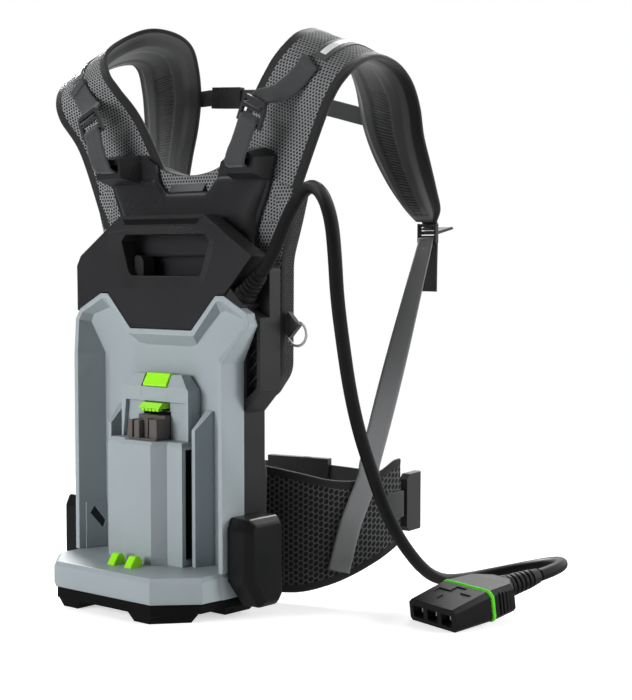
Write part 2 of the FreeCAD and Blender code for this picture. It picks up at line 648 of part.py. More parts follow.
def guards():
    """Corner guards: a faceted bumper on each lower side, wrapped round the front edge of the housing."""
    for name in ("left", "right"):
        sign = "" if name == "right" else "-"
        body = new_body(f"corner_guard_{name}")
        face = [("-22", "guard_top - 10"), ("-17", "guard_top"), ("22", "guard_top"), ("28", "guard_top - 8"),
                ("28", "guard_low + 10"), ("20", "guard_low"), ("-6", "guard_low"), ("-26", "guard_low + 30"),
                ("-26", "guard_top - 14")]
        low, high = ("guard_in", "guard_out") if name == "right" else ("-guard_out", "-guard_in")
        pad(body, "YZ", face, low, high)
        outer = size("guard_out")
        soften(body, "Chamfer", "7", lambda p, t: abs(abs(p.x) - outer) < 0.1)
        wrap = [(f"{sign}guard_in", "-rim_front + 2"), (f"{sign}guard_in + {sign}10", "-rim_front + 2"),
                (f"{sign}guard_in + {sign}22", "-25"), (f"{sign}guard_in", "-25")]
        pad(body, "XY", wrap, "guard_low + 24", "guard_top - 16")


def vents():
    """Vent grilles: four slanted slats in a thin frame, let into the front of each side pod."""
    for name in ("left", "right"):
        sign = "" if name == "right" else "-"
        body = new_body(f"vent_grille_{name}")
        outside = f"{sign}pod_half - {sign}5.3"
        inside = f"{sign}rim_half + {sign}3.3"
        plate = [(outside, "pod_low + 4.5"), (outside, "ear_corner - 4.6"), (inside, "ear_corner - 22.3"),
                 (inside, "pod_low - 7")]
        pad(body, "XZ", plate, "6", "8.8")
        for i in range(4):
            level = f"pod_low + 5 + {i * 14.5}"
            slat = [(inside, level), (outside, f"{level} + 13"),
                    (outside, f"{level} + 16"), (inside, f"{level} + 3")]
            pad(body, "XZ", slat, "1", "6")


def contacts():
    """Terminal block with its slots, and the brass contact blades that stand in them."""
    body = new_body("terminal_block")
    block = [("-27", "-12.2"), ("-27", "-33"), ("-15", "-33"), ("-15", "-36"), ("15", "-36"), ("15", "-33"),
             ("27", "-33"), ("27", "-12.2")]
    pad(body, "XY", block, "block_top + 0.2", "206")
    for x in TERMINAL_SLOTS:
        cut(body, "XY", box(x - 3, x + 3, -40, -16), "block_top + 5", "206")
    level = size("block_top") + 5
    blades = [Part.makeBox(1.2, 15, 16, Vector(x - 0.6, -31, level)) for x in TERMINAL_SLOTS]
    formed("contact_blades", Part.makeCompound(blades))


def latch():
    """Release button and latch hook that slide in the tower, each on a coil spring."""
    body = new_body("latch_hook")
    hook = [("-14", "218.3"), ("-33", "218.3"), ("-33", "221"), ("-25", "226.3"), ("-14", "226.3")]
    pad(body, "YZ", hook, "-19", "19")
    spring("latch_spring", Vector(0, -14, 222.3), Vector(0, 1, 0), 12, 2.8, 4)
    body = new_body("release_button")
    button = [("-7", "236"), ("-18", "236"), ("-25", "243.6"), ("-17.4", "258.8"), ("-7", "258.8")]
    pad(body, "YZ", button, "-20", "20")
    spring("button_spring", Vector(0, -13, 230), Vector(0, 0, 1), 6, 3.6, 2)


def spring(label, base, axis, length, radius, turns):
    """A coil spring of square wire along the axis, from its base."""
    axis = unit(axis)
    spoke = unit(axis.cross(Vector(1, 0.3, 0.2)))
    half = size("spring_wire") / 2
    steps = turns * SPRING_STEPS
    rings = []
    for i in range(steps + 1):
        arm = FreeCAD.Rotation(axis, 360 * i / SPRING_STEPS).multVec(spoke)
        level = base + axis * (half + (length - 2 * half) * i / steps)
        rings.append([level + arm * (radius + a * half) + axis * (b * half)
                      for a, b in ((-1, -1), (1, -1), (1, 1), (-1, 1))])
    formed(label, faceted(rings))


def ejectors():
    """Eject pads: two fin-shaped plungers in wells of the shelf, on springs."""
    for name in ("left", "right"):
        sign = "" if name == "right" else "-"
        body = new_body(f"eject_pad_{name}")
        left, right = f"{sign}eject_x - 5.6", f"{sign}eject_x + 5.6"
        pad(body, "XY", box(left, right, "-eject_y - 9", "-eject_y + 9"), "shelf_top - 14", "shelf_top + 1")
        fin = [("-eject_y - 9", "shelf_top + 1"), ("-eject_y + 9", "shelf_top + 1"),
               ("-eject_y + 9", "shelf_top + 7"), ("-eject_y + 4", "shelf_top + 12"),
               ("-eject_y - 2", "shelf_top + 11.5")]
        pad(body, "YZ", fin, left, right)
        well_floor = size("shelf_low") - 6
        length = size("shelf_top") - 14 - well_floor
        spring(f"eject_spring_{name}", Vector(size(f"{sign}eject_x"), -size("eject_y"), well_floor),
               Vector(0, 0, 1), length, 4, 5)


def harness_plate():
    """Stiff plate between housing and back pad, with a slotted ear each side for the load lifters."""
    body = new_body("harness_yoke")
    outline = mirrored([("100", "250"), ("108", "330"), ("104", "420"), ("122", "462"), ("132", "496"),
                        ("120", "505"), ("72", "505"), ("52", "493"), ("44", "470"), ("31", "459")])
    pad(body, "XZ", outline, "yoke_front", "yoke_front + yoke_thick")
    for sign in ("", "-"):
        ear = [(f"{sign}72", "472"), (f"{sign}126", "470"), (f"{sign}131", "496"), (f"{sign}120", "506"),
               (f"{sign}76", "506")]
        face = [(f"{sign}82", "478"), (f"{sign}123", "477"), (f"{sign}124", "494"), (f"{sign}116", "500"),
                (f"{sign}84", "500")]
        loft(body, "Additive", "XZ", ear, "yoke_front", face, "4")
        cut(body, "XZ", box(f"{sign}87", f"{sign}118", 484, 493), "3", "yoke_front + yoke_thick + 1")


def pads():
    """Back pad with its neck opening and air channel, and the lumbar pad that carries the hip belt."""
    body = new_body("back_pad")
    outline = mirrored([("112", "232"), ("136", "262"), ("137", "385"), ("150", "425"), ("160", "460.6"),
                        ("58", "493.6"), ("34", "484"), ("12", "480")])
    pad(body, "XZ", outline, "pad_front", "pad_back")
    back = size("pad_back")
    soften(body, "Fillet", "6", lambda p, t: abs(p.y - back) < 0.1 and abs(t.y) < 0.1)
    channel = [("-14", "pad_back + 1"), ("-9", "pad_back - 8"), ("9", "pad_back - 8"), ("14", "pad_back + 1")]
    cut(body, "XY", channel, "225", "500")
    body = new_body("lumbar_pad")
    outline = mirrored([("70", "8"), ("92", "20"), ("96", "150"), ("80", "200"), ("60", "214")])
    pad(body, "XZ", outline, "housing_back", "pad_back + 4")
    back = size("pad_back") + 4
    soften(body, "Fillet", "9", lambda p, t: abs(p.y - back) < 0.1 and abs(t.y) < 0.1)


def straps():
    """Shoulder straps, one each side, as padded bands over the shoulder."""
    thick = size("strap_thick")
    formed("shoulder_strap_right", strap_solid(STRAP_RIGHT, 1, thick))
    formed("shoulder_strap_left", strap_solid(STRAP_LEFT, -1, thick))


def belt():
    """Hip belt wings, lofted round the hips."""
    thick = size("belt_thick")
    for name in ("left", "right"):
        sign = side_of(name)
        rings = []
        for i, (x, y, low, high) in enumerate(BELT_STATIONS):
            before = BELT_STATIONS[max(i - 1, 0)]
            after = BELT_STATIONS[min(i + 1, len(BELT_STATIONS) - 1)]
            along = unit(Vector(sign * (after[0] - before[0]), after[1] - before[1], 0))
            inward = along.cross(Vector(0, 0, 1)) * -sign
            rings.append(strap_section(Vector(sign * x, y, low), Vector(sign * x, y, high), inward, thick))
        formed(f"belt_wing_{name}", faceted(rings))


def gland():
    """Ringed strain relief that the power cable leaves the housing through."""
    tip = Vector(*CABLE_ROUTE[0])
    axis = unit(Vector(*CABLE_ROUTE[1]) - tip)
    length = 34
    profile = [(0, 12.5), (7, 12.5), (7, 10.5)] + ringed(9, length - 4, 11, 9, 4, 1.6)
    profile += [(length - 4, 8.4), (length, 7.9)]
    turned("cable_gland", tip - axis * length, axis, profile)


def plug():
    """Power plug: front shell with sockets, coloured ring, rear shell with grip ribs, boot and contacts."""
    axis = Vector(0.256, 0.957, 0.139)
    side = Vector(0.966, -0.259, 0)
    place = frame_at((303, 87, 0), side, side.cross(axis))
    nose = mirrored([("plug_half - 5", "0"), ("plug_half - 2", "3"), ("plug_half - 2", "20"),
                     ("plug_half - 7", "24")])
    waist = mirrored([("plug_half - 4", "-1"), ("plug_half", "3"), ("plug_half", "26"),
                      ("plug_half - 6", "31")])
    tail = mirrored([("plug_half - 7", "0"), ("plug_half - 3", "4"), ("plug_half - 3", "25"),
                     ("plug_half - 9", "30")])
    neck = mirrored([("15", "2"), ("17", "6"), ("17", "24"), ("13", "28")])
    body = new_body("plug_front_shell")
    loft(body, "Additive", "XZ", nose, "0", waist, "ring_start")
    for x in PLUG_SOCKETS:
        cut(body, "XZ", box(x - 8, x + 8, 5, 17), "0", "14")
    for half, near, far in (("8", "14", "44"), ("26", "24", "34")):
        low = [f"22.6 + 7 / ring_start * {y}" for y in (near, far)]
        cut(body, "YZ", [(near, low[0]), (far, low[1]), (far, "36"), (near, "36")], f"-{half}", half)
    body.Placement = place
    body = new_body("plug_ring")
    band = mirrored([("plug_half - 3", "-2"), ("plug_half + 1", "2.5"), ("plug_half + 1", "26.5"),
                     ("plug_half - 5.5", "32")])
    pad(body, "XZ", band, "ring_start", "ring_end")
    body.Placement = place
    body = new_body("plug_rear_shell")
    loft(body, "Additive", "XZ", waist, "ring_end", tail, "84")
    loft(body, "Additive", "XZ", tail, "84", neck, "boot_start")
    for y in (60, 65, 70, 75):
        for sign in ("", "-"):
            groove = box(f"{sign}(plug_half - 2.6)", f"{sign}(plug_half + 2)", y, y + 2.4)
            cut(body, "XY", groove, "-3", "33")
    body.Placement = place
    sleeves = []
    for x in PLUG_SOCKETS:
        sleeve = Part.makeBox(10, 5, 6, Vector(x - 5, 9, 8))
        sleeves.append(sleeve.cut(Part.makeBox(7, 3, 3, Vector(x - 3.5, 9, 9.5))))
    group = Part.makeCompound(sleeves)
    group.Placement = place
    formed("plug_contacts", group)
    start = place.multVec(Vector(0, size("boot_start"), 15))
    axis = place.Rotation.multVec(Vector(0, 1, 0))
    length = size("boot_end") - size("boot_start")
    profile = [(0, 13.5), (4, 13.5), (4, 11.5)] + ringed(6, length - 12, 12.5, 10, 5, 1.8)
    profile += [(length - 12, 9.6), (length, 8.2)]
    turned("plug_boot", start, axis, profile)


def ring_and_tab():
    """Steel D-ring that swings in a folded webbing tab on the edge of the back pad."""
    outwards = Vector(1, 0, -1)
    place = frame_at((149, 42, 309), outwards, Vector(1, 0, 1))
    half = size("ring_bore") / 2
    wire = size("wire") / 2
    bend = 2.5
    arm = 6
    path = [(0, half - bend), (bend * 0.3, half - bend * 0.3), (bend, half), (arm, half)]
    turns = [math.pi * i / 10 for i in range(1, 10)]
    path += [(arm + half * math.sin(turn), half * math.cos(turn)) for turn in turns]
    path += [(x, -z) for x, z in reversed(path[:4])]
    spokes = [2 * math.pi * k / RING_SIDES for k in range(RING_SIDES)]
    rings = []
    for i, (x, z) in enumerate(path):
        back, ahead = path[i - 1], path[(i + 1) % len(path)]
        normal = unit(Vector(ahead[1] - back[1], 0, back[0] - ahead[0])) * wire
        side = Vector(0, wire, 0)
        ring = [Vector(x, 0, z) + normal * math.cos(a) + side * math.sin(a) for a in spokes]
        rings.append([place.multVec(corner) for corner in ring])
    formed("d_ring", faceted(rings, closed=True))
    tab = Part.makeBox(21, 6, 19, Vector(-18, -3, -9.5))
    tab = tab.cut(Part.makeCylinder(wire + 0.5, 24, Vector(0, 0, -12)))
    tab.Placement = place
    pad_side = Part.makeBox(60, 60, 80, Vector(76.9, 20, 280))
    formed("d_ring_tab", tab.cut(pad_side))


def lifters():
    """Load lifters: webbing from the slot of the harness plate to a ladder lock, and on to the strap."""
    thick = size("webbing")
    width = size("lifter_width")
    for name in ("left", "right"):
        sign = side_of(name)
        along = Vector(0.42 * sign, -0.035, 0.91)
        place = frame_at(on_side((127, 0, 541), sign), Vector(0.91, 0, -0.42 * sign), along)
        body = new_body(f"lifter_lock_{name}")
        outline = mirrored([("18", "-14"), ("18", "8"), ("14", "15.5")])
        pad(body, "XZ", outline, "-2", "2")
        cut(body, "XZ", mirrored([("13.9", "-9"), ("13.9", "11")]), "-2", "2")
        cross_bar(body, "3.5", "lock_bar", "14.5")
        body.Placement = place
        across = place.Rotation.multVec(Vector(1, 0, 0))
        side = Vector(1, 0, 0)
        low_points = ((102.5, 28, 485.3), (102.5, 4, 485.3), (103.5, -2, 488), (108, -5, 498))
        lower = [on_side(p, sign) for p in low_points]
        lower += [place.multVec(Vector(*p)) for p in ((0, -3.6, -16), (0, -3.6, -8.5), (0, 2.5, -3))]
        wide = [side] * 4 + [across] * 3
        formed(f"lifter_webbing_lower_{name}", band_solid(lower, wide, width, thick))
        upper = [place.multVec(Vector(*p)) for p in ((0, -3, 7), (0, 3.7, 9.3), (0, 8.5, 18.5))]
        upper += [on_side((167, 25.2, 574), sign), on_side((184, 28.2, 592.5), sign)]
        tilt = on_side((0.62, -0.04, -0.5), sign)
        wide = [across * sign] * 3 + [tilt, tilt]
        formed(f"lifter_webbing_upper_{name}", band_solid(upper, wide, width, thick))


def tapes():
    """Reflective tape along the outer face of each shoulder strap, over the crest."""
    for name, stations in (("left", STRAP_LEFT), ("right", STRAP_RIGHT)):
        frames = strap_frames(stations, side_of(name))[3 * STRAP_STEPS + 1:8 * STRAP_STEPS + 1]
        points = [neck + (outer - neck) * 0.55 - inward * 1.6 for neck, outer, inward in frames]
        wide = [outer - neck for neck, outer, _ in frames]
        formed(f"reflective_tape_{name}", band_solid(points, wide, 20, 0.8))


def strap_ends():
    """Ladder lock at the end of each shoulder strap, and the webbing that pulls it to the hip belt."""
    thick = size("webbing")
    width = size("pull_width")
    for name, stations in (("left", STRAP_LEFT), ("right", STRAP_RIGHT)):
        sign = side_of(name)
        frames = strap_frames(stations, sign)
        neck, outer, inward = frames[-1]
        end = (neck + outer) * 0.5
        neck_above, outer_above, inward_above = frames[-1 - STRAP_STEPS]
        above = (neck_above + outer_above) * 0.5 - inward_above * 2.6
        below = end + on_side((2, -2.5, -14), sign)
        place = frame_at(below, Vector(0.974, -0.225 * sign, 0), Vector(0, 0, 1))
        body = new_body(f"strap_lock_{name}")
        pad(body, "XZ", mirrored([("16", "-12.5"), ("16", "9.5")]), "-2", "2")
        lever = [("1.9", "-3"), ("1.9", "0.5"), ("25", "6"), ("27", "3.5")]
        pad(body, "YZ", lever, "-14", "14")
        cut(body, "XZ", mirrored([("12.9", "-9.5"), ("12.9", "-3")]), "-2", "2")
        cut(body, "XZ", mirrored([("12.9", "1"), ("12.9", "10")]), "-2", "2")
        cross_bar(body, "7.5", "lock_bar", "13.5")
        body.Placement = place
        across = place.Rotation.multVec(Vector(1, 0, 0))
        strap_across = unit(outer - neck) * sign
        loop = [above, end - inward * 3.3]
        loop += [place.multVec(Vector(*p)) for p in ((0, 4.7, 9), (0, 3.6, 5.2), (0, -0.5, 2.9))]
        wide = [unit(outer_above - neck_above) * sign, strap_across] + [across] * 3
        pieces = [band_solid(loop, wide, 22, thick)]
        tail = [place.multVec(Vector(*p)) for p in ((0, 1, -4.6), (0, 3.9, -8.5), (0, 3.9, -14), (0, 3, -68))]
        pieces.append(band_solid(tail, across, width, thick))
        top = [place.multVec(Vector(*p)) for p in ((0, -0.5, -6.5), (0, -3.6, -8.6), (0, -3.8, -12.5))]
        landing = [on_side(p, sign) for p in PULL_LANDING]
        on_belt = [on_side(d, sign) * sign for d in PULL_ACROSS]
        run = [top[-1] + (landing[0] - top[-1]) * (i / 5) for i in range(1, 5)]
        turn = [across * (1 - i / 5) + on_belt[0] * (i / 5) for i in range(1, 5)]
        pieces.append(band_solid(top + run + landing, [across] * 3 + turn + on_belt, width, thick))
        formed(f"pull_webbing_{name}", Part.makeCompound(pieces))


def buckle(prefix, place, male_length, female_length, height, thick, webbing):
    """Side-release buckle in two pieces; the prongs of the male piece sit in the socket of the female one."""
    reach = height * 0.34
    prong = height * 0.37
    body = new_body(f"{prefix}_female")
    high = height / 2
    deep = thick / 2
    pad(body, "XZ", mirrored_in_z(0, female_length, high), f"{-deep}", f"{deep}")
    cut(body, "XZ", mirrored_in_z(0, reach + 1.5, prong + 0.6), f"{-deep + 1.6}", f"{deep - 1.6}")
    cut(body, "XZ", mirrored_in_z(reach * 0.45, reach + 1.5, high), f"{-deep + 1.6}", f"{deep - 1.6}")
    cut(body, "XZ", mirrored_in_z(female_length - 5, female_length, webbing / 2 + 0.4), "-1.5", "1.5")
    body.Placement = place
    body = new_body(f"{prefix}_male")
    pad(body, "XZ", mirrored_in_z(-male_length, -0.2, high), f"{-deep}", f"{deep}")
    inner = prong * 0.45
    fork = [("-0.2", f"{-prong}"), (f"{reach - 2}", f"{-prong}"), (f"{reach}", f"{-prong + 2}"),
            (f"{reach}", f"{-inner}"), ("2", f"{-inner + 1}"), ("2", f"{inner - 1}"), (f"{reach}", f"{inner}"),
            (f"{reach}", f"{prong - 2}"), (f"{reach - 2}", f"{prong}"), ("-0.2", f"{prong}")]
    pad(body, "XZ", fork, f"{-deep + 2}", f"{deep - 2}")
    cut(body, "XZ", mirrored_in_z(-male_length, -male_length + 5, webbing / 2 + 0.4), "-1.5", "1.5")
    body.Placement = place


def mirrored_in_z(left, right, half):
    """A rectangle about the X axis."""
    return box(left, right, -half, half)


def sternum():
    """Sternum strap between the shoulder straps, with its buckle."""
    thick = size("webbing")
    width = size("sternum_width")
    along = Vector(1, 0.03, -0.06)
    place = frame_at((-92, 182.3, 584), along, Vector(0, 0, 1))
    buckle("sternum_buckle", place, 12, 35, 26, 8, width)
    up = Vector(0, 0, 1)
    left = [Vector(-138, 180.8, 584.5), Vector(-122, 181.9, 584.6), place.multVec(Vector(-16, 0, 0)),
            place.multVec(Vector(-7.4, 0, 0))]
    formed("sternum_webbing_left", band_solid(left, up, width, thick))
    right = [place.multVec(Vector(30.4, 0, 0)), Vector(-20, 186, 579), Vector(60, 189, 566),
             Vector(125, 191.8, 549.5), Vector(142, 191.2, 547)]
    formed("sternum_webbing_right", band_solid(right, up, width, thick))


def belt_front():
    """Hip belt webbing round the front, an adjuster on each side and the buckle between the two halves."""
    thick = size("webbing")
    width = size("belt_width")
    level = 107
    place = frame_at((-53.5, 286.5, level), Vector(0.984, 0.18, 0), Vector(0, 0, 1))
    buckle("belt_buckle", place, 45, 45, 46, 10, width)
    up = Vector(0, 0, 1)
    half_wide = 193
    half_deep = 120
    middle = 175
    for name in ("left", "right"):
        sign = side_of(name)
        at = math.radians(13.5)
        spot = on_side((half_wide * math.cos(at), middle + half_deep * math.sin(at), level), sign)
        adjuster = frame_at(spot, on_side((-0.13, 1, 0), sign), up)
        sewn = ((187.6, 157.3, level), (191.2, 168.2, level), (192.8, 180, level))
        points = [on_side(p, sign) for p in sewn]
        points += [adjuster.multVec(Vector(x, 0, 0)) for x in (-19, 19)]
        for angle in (30, 45) if name == "left" else (30, 45, 60, 76):
            turn = math.radians(angle)
            x, y = half_wide * math.cos(turn), middle + half_deep * math.sin(turn)
            points.append(on_side((x, y, level), sign))
        points += [place.multVec(Vector(sign * reach, 0, 0)) for reach in (49, 40.6)]
        formed(f"belt_webbing_{name}", band_solid(points, up, width, thick))
        body = new_body(f"belt_adjuster_{name}")
        pad(body, "XY", [("-18", "-5"), ("14", "-5"), ("18", "-2"), ("18", "5"), ("-18", "5")], "-33", "33")
        cut(body, "XY", [("-18", "-1.8"), ("18", "-1.8"), ("18", "1.8"), ("-18", "1.8")], "-15.6", "15.6")
        soften(body, "Chamfer", "6", lambda p, t: abs(t.y) > 0.9 and abs(p.z) > 32 and p.x < 0)
        body.Placement = adjuster


def cable():
    """Power cable: straight runs joined by tangent arcs, each arc as large as its two runs allow."""
    points = [Vector(*p) for p in CABLE_ROUTE]
    edges = []
    start = points[0]
    radii = []
    for before, corner, after in zip(points, points[1:], points[2:]):
        incoming = unit(corner - before)
        outgoing = unit(after - corner)
        turn = incoming.getAngle(outgoing)
        shorter = min((corner - before).Length, (after - corner).Length)
        radius = 0.45 * shorter / math.tan(turn / 2)
        reach = 0.45 * shorter
        first = corner - incoming * reach
        last = corner + outgoing * reach
        inward = unit(outgoing - incoming)
        middle = corner + inward * (radius / math.cos(turn / 2) - radius)
        edges.append(Part.LineSegment(start, first).toShape())
        edges.append(Part.Arc(first, middle, last).toShape())
        radii.append(round(radius))
        start = last
    edges.append(Part.LineSegment(start, points[-1]).toShape())
    path = Part.Wire(edges)
    radius = size("cable") / 2
    heading = unit(points[1] - points[0])
    spoke = unit(heading.cross(Vector(0, 1, 0)))
    turn_step = 360 / CABLE_SIDES
    corners = [points[0] + FreeCAD.Rotation(heading, turn_step * i).multVec(spoke) * radius
               for i in range(CABLE_SIDES)]
    section = Part.makePolygon(corners + corners[:1])
    tube = path.makePipeShell([section], True, False)
    area = Part.Face(section).Area
    print("cable length", round(path.Length), "radii", radii)
    print("cable volume", round(tube.Volume), "section times length", round(area * path.Length))
    formed("power_cable", tube)


def main():
    housing()
    board()
    cover()
    tray()
    tower()
    base()
    base_screws()
    guards()
    vents()
    contacts()
    latch()
    ejectors()
    harness_plate()
    pads()
    straps()
    belt()
    tapes()
    lifters()
    strap_ends()
    sternum()
    belt_front()
    ring_and_tab()
    gland()
    plug()
    cable()
    document.recompute()
    failed = [item.Name for item in document.Objects if "Invalid" in item.State or "Error" in item.State]
    if failed:
        raise RuntimeError("failed objects: " + ", ".join(failed))
    os.makedirs("parts", exist_ok=True)
    triangles = 0
    for label, piece in PIECES.items():
        shape = piece.Shape
        if shape.isNull() or not shape.isValid() or shape.Volume <= 0:
            raise RuntimeError("bad shape: " + label)
        triangles += len(shape.tessellate(0.3)[1])
        shape.exportStep(f"parts/{label}.step")
    print(len(PIECES), "pieces,", triangles, "triangles")


main()
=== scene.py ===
import math
import bmesh
import bpy
import numpy as np
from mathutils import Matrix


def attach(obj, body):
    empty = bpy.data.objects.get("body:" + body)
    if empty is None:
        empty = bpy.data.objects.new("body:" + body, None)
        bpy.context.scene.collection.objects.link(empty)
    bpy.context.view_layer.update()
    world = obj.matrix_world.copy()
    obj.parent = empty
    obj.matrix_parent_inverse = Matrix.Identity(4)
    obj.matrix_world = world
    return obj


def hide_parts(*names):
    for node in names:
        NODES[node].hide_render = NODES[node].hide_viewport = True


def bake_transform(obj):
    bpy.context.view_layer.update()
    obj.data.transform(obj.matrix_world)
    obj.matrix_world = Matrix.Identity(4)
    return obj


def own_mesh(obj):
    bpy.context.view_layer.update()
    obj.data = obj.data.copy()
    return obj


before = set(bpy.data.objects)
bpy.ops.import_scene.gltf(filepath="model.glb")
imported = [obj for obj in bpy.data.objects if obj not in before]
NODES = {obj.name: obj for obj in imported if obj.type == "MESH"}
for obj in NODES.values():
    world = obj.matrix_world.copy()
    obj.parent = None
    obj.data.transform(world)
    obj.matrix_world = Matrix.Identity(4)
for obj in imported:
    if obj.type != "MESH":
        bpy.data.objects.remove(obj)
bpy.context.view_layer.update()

MM = 0.001

# Route of the power cable from the gland tip to the boot of the plug, in metres.
CABLE_ROUTE = [
    (0.140, -0.002, 0.370), (0.1552, -0.002, 0.3859), (0.170, -0.006, 0.408), (0.187, -0.010, 0.433),
    (0.210, -0.018, 0.452), (0.238, -0.034, 0.460), (0.266, -0.050, 0.450), (0.286, -0.061, 0.424),
    (0.291, -0.062, 0.389), (0.284, -0.050, 0.348), (0.271, -0.025, 0.302), (0.258, 0.002, 0.253),
    (0.249, 0.029, 0.206), (0.242, 0.059, 0.162), (0.233, 0.092, 0.119), (0.226, 0.127, 0.081),
    (0.222, 0.162, 0.050), (0.217, 0.194, 0.029), (0.212, 0.225, 0.016), (0.2095, 0.255, 0.009),
    (0.217, 0.285, 0.0085), (0.2365, 0.309, 0.013), (0.265, 0.322, 0.021), (0.296, 0.3215, 0.030),
    (0.3235, 0.3075, 0.037), (0.342, 0.2825, 0.0405), (0.3475, 0.252, 0.0393), (0.3424, 0.2326, 0.0365),
]
CABLE_DIAMETER = 0.014

# Shoulder strap stations in millimetres, both as on the right side: neck edge and outer edge of the outer face.
STRAP_START = [
    ((24, 35.3, 455), (145, 34.6, 420)), ((80, 37, 544), (186, 34.5, 510)), ((113, 31, 584), (215, 27, 553)),
]
STRAP_RIGHT = STRAP_START + [
    ((132, 31, 606), (229, 34, 576)), ((145, 46, 627), (232, 56, 592)), ((139, 78, 637), (229, 86, 601)),
    ((126, 112, 640), (222, 120, 601)), ((118, 145, 637), (217, 148, 594)), ((117, 170, 618), (217, 167, 578)),
    ((122, 184, 586), (219, 177, 553)), ((128, 189, 545), (220, 183, 522)), ((139, 194, 508), (221, 194, 493)),
    ((156, 199, 474), (221, 206, 464)), ((172.2, 208.4, 446), (218.7, 216.6, 443)),
    ((182.5, 219.8, 430), (211.5, 221.1, 430)),
]
STRAP_LEFT = STRAP_START + [
    ((132, 31, 606), (228, 33, 581)), ((148, 44, 632), (234, 54, 602)), ((146, 74, 653), (232, 82, 618)),
    ((128, 99, 664), (222, 108, 631)), ((112, 126, 660), (211, 132, 636)), ((107, 149, 646), (208, 152, 627)),
    ((113, 167, 620), (212, 165, 602)), ((121, 179, 586), (216, 173, 570)), ((129, 182, 549), (217, 176, 538)),
    ((139, 182, 513), (218, 183, 505)), ((156, 190, 474), (218, 196, 470)), ((172, 203, 444), (215, 206, 444)),
    ((183, 213, 428), (207, 213, 429)),
]
SIDES = (("left", -1, STRAP_LEFT), ("right", 1, STRAP_RIGHT))

# Hip belt stations in millimetres: outer face (x, y) with the heights of its lower and upper edge.
BELT_STATIONS = [
    (0.2, 64, 14, 152), (58, 64.2, 10, 153), (86, 70, 9, 152), (122, 83, 11, 146), (150, 102, 20, 139),
    (170, 124, 32, 138), (184, 150, 46, 147), (189.5, 168, 56, 157), (190.7, 178.5, 62, 159),
]

# Ribs of the strap foam: their pitch and depth, and the stations between which they stand.
RIB_PITCH = 3.4 * MM
RIB_DEPTH = 1.5 * MM
RIB_SPAN = (8.6, 13.2)

# Widths of the webbing, of the sewn tapes and of the edge bindings.
LIFTER_WIDTH = 27 * MM
PULL_WIDTH = 25 * MM
LOOP_WIDTH = 22 * MM
STERNUM_WIDTH = 20 * MM
BELT_WIDTH = 30 * MM
TAPE_WIDTH = 20 * MM
STRIP_WIDTH = 8.5 * MM
STRAP_BINDING = 11.5 * MM
BELT_BINDING = 9 * MM

# The hip webbing lies on an ellipse about the wearer: its height, its middle and its half axes in millimetres.
BELT_LEVEL = 107
BELT_MIDDLE = 175
BELT_REACH = (193, 120)

# The photograph's camera: its place in metres, its look down and its turn in degrees, and its lens in millimetres.
CAMERA_PLACE = (1.2372, -1.2181, 0.389)
CAMERA_DOWN = 3.5
CAMERA_TURN = 40
CAMERA_LENS = 79.3


# Colour and material helpers

def linear(code):
    """A hex sRGB colour as linear red, green, blue and alpha."""
    parts = [int(code[i:i + 2], 16) / 255 for i in (1, 3, 5)]
    return tuple(c / 12.92 if c <= 0.04045 else ((c + 0.055) / 1.055) ** 2.4 for c in parts) + (1.0,)


def add(tree, kind, inputs=None, **settings):
    """A node with its settings; each input is a value or the socket that feeds it."""
    node = tree.nodes.new(kind)
    for name, value in settings.items():
        setattr(node, name, value)
    for name, value in (inputs or {}).items():
        socket = node.inputs[name]
        if isinstance(value, bpy.types.NodeSocket):
            tree.links.new(value, socket)
        else:
            socket.default_value = value
    return node


def new_material(name, roughness, **shader):
    """A material with a Principled shader whose plain values are set on its own sockets."""
    material = bpy.data.materials.new(name)
    material.use_nodes = True
    tree = material.node_tree
    surface = tree.nodes["Principled BSDF"]
    surface.inputs["Roughness"].default_value = roughness
    for socket, value in shader.items():
        surface.inputs[socket.replace("_", " ")].default_value = value
    return material, tree, surface


def math_node(tree, operation, first, second=0.0, third=0.0):
    """One arithmetic step on values or sockets."""
    return add(tree, "ShaderNodeMath", {0: first, 1: second, 2: third}, operation=operation).outputs[0]


def vector_node(tree, operation, *values):
    """One vector step on values or sockets."""
    return add(tree, "ShaderNodeVectorMath", dict(enumerate(values)), operation=operation)


def map_range(tree, value, *limits, **settings):
    """The value carried from a low and a high limit to two new ones."""
    return add(tree, "ShaderNodeMapRange", {"Value": value, **dict(enumerate(limits, 1))}, **settings).outputs[0]


def noise(tree, place, scale, detail):
    """Fractal noise from 0 to 1, its scale in patches per metre."""
    return add(tree, "ShaderNodeTexNoise", {"Vector": place, "Scale": scale, "Detail": detail}).outputs["Fac"]


def weighed(tree, first, share, second, other):
    """first times its share plus second times the other."""
    return math_node(tree, "MULTIPLY_ADD", first, share, math_node(tree, "MULTIPLY", second, other))


def mix_colours(tree, factor, first, second):
    """The colour between two colours by a factor."""
    return add(tree, "ShaderNodeMix", {0: factor, 6: first, 7: second}, data_type="RGBA").outputs[2]


def tint(tree, surface, factor, first, second):
    """Base colour between two colours by a factor."""
    tree.links.new(mix_colours(tree, factor, first, second), surface.inputs["Base Color"])


def polish(tree, surface, factor, low, high):
    """Roughness between two values as the factor goes from 0.3 to 0.7."""
    tree.links.new(map_range(tree, factor, 0.3, 0.7, low, high), surface.inputs["Roughness"])


def emboss(tree, surface, height, depth, strength):
    """Relief of the height at a depth in metres."""
    bump = add(tree, "ShaderNodeBump", {"Height": height, "Distance": depth, "Strength": strength})
    tree.links.new(bump.outputs[0], surface.inputs["Normal"])


def object_place(tree):
    """Object coordinates, which are metres in the row frame."""
    return add(tree, "ShaderNodeTexCoord").outputs["Object"]


def uv_place(tree):
    """The piece's own UV map: metres across and metres along."""
    return add(tree, "ShaderNodeUVMap", uv_map="UVMap").outputs["UV"]


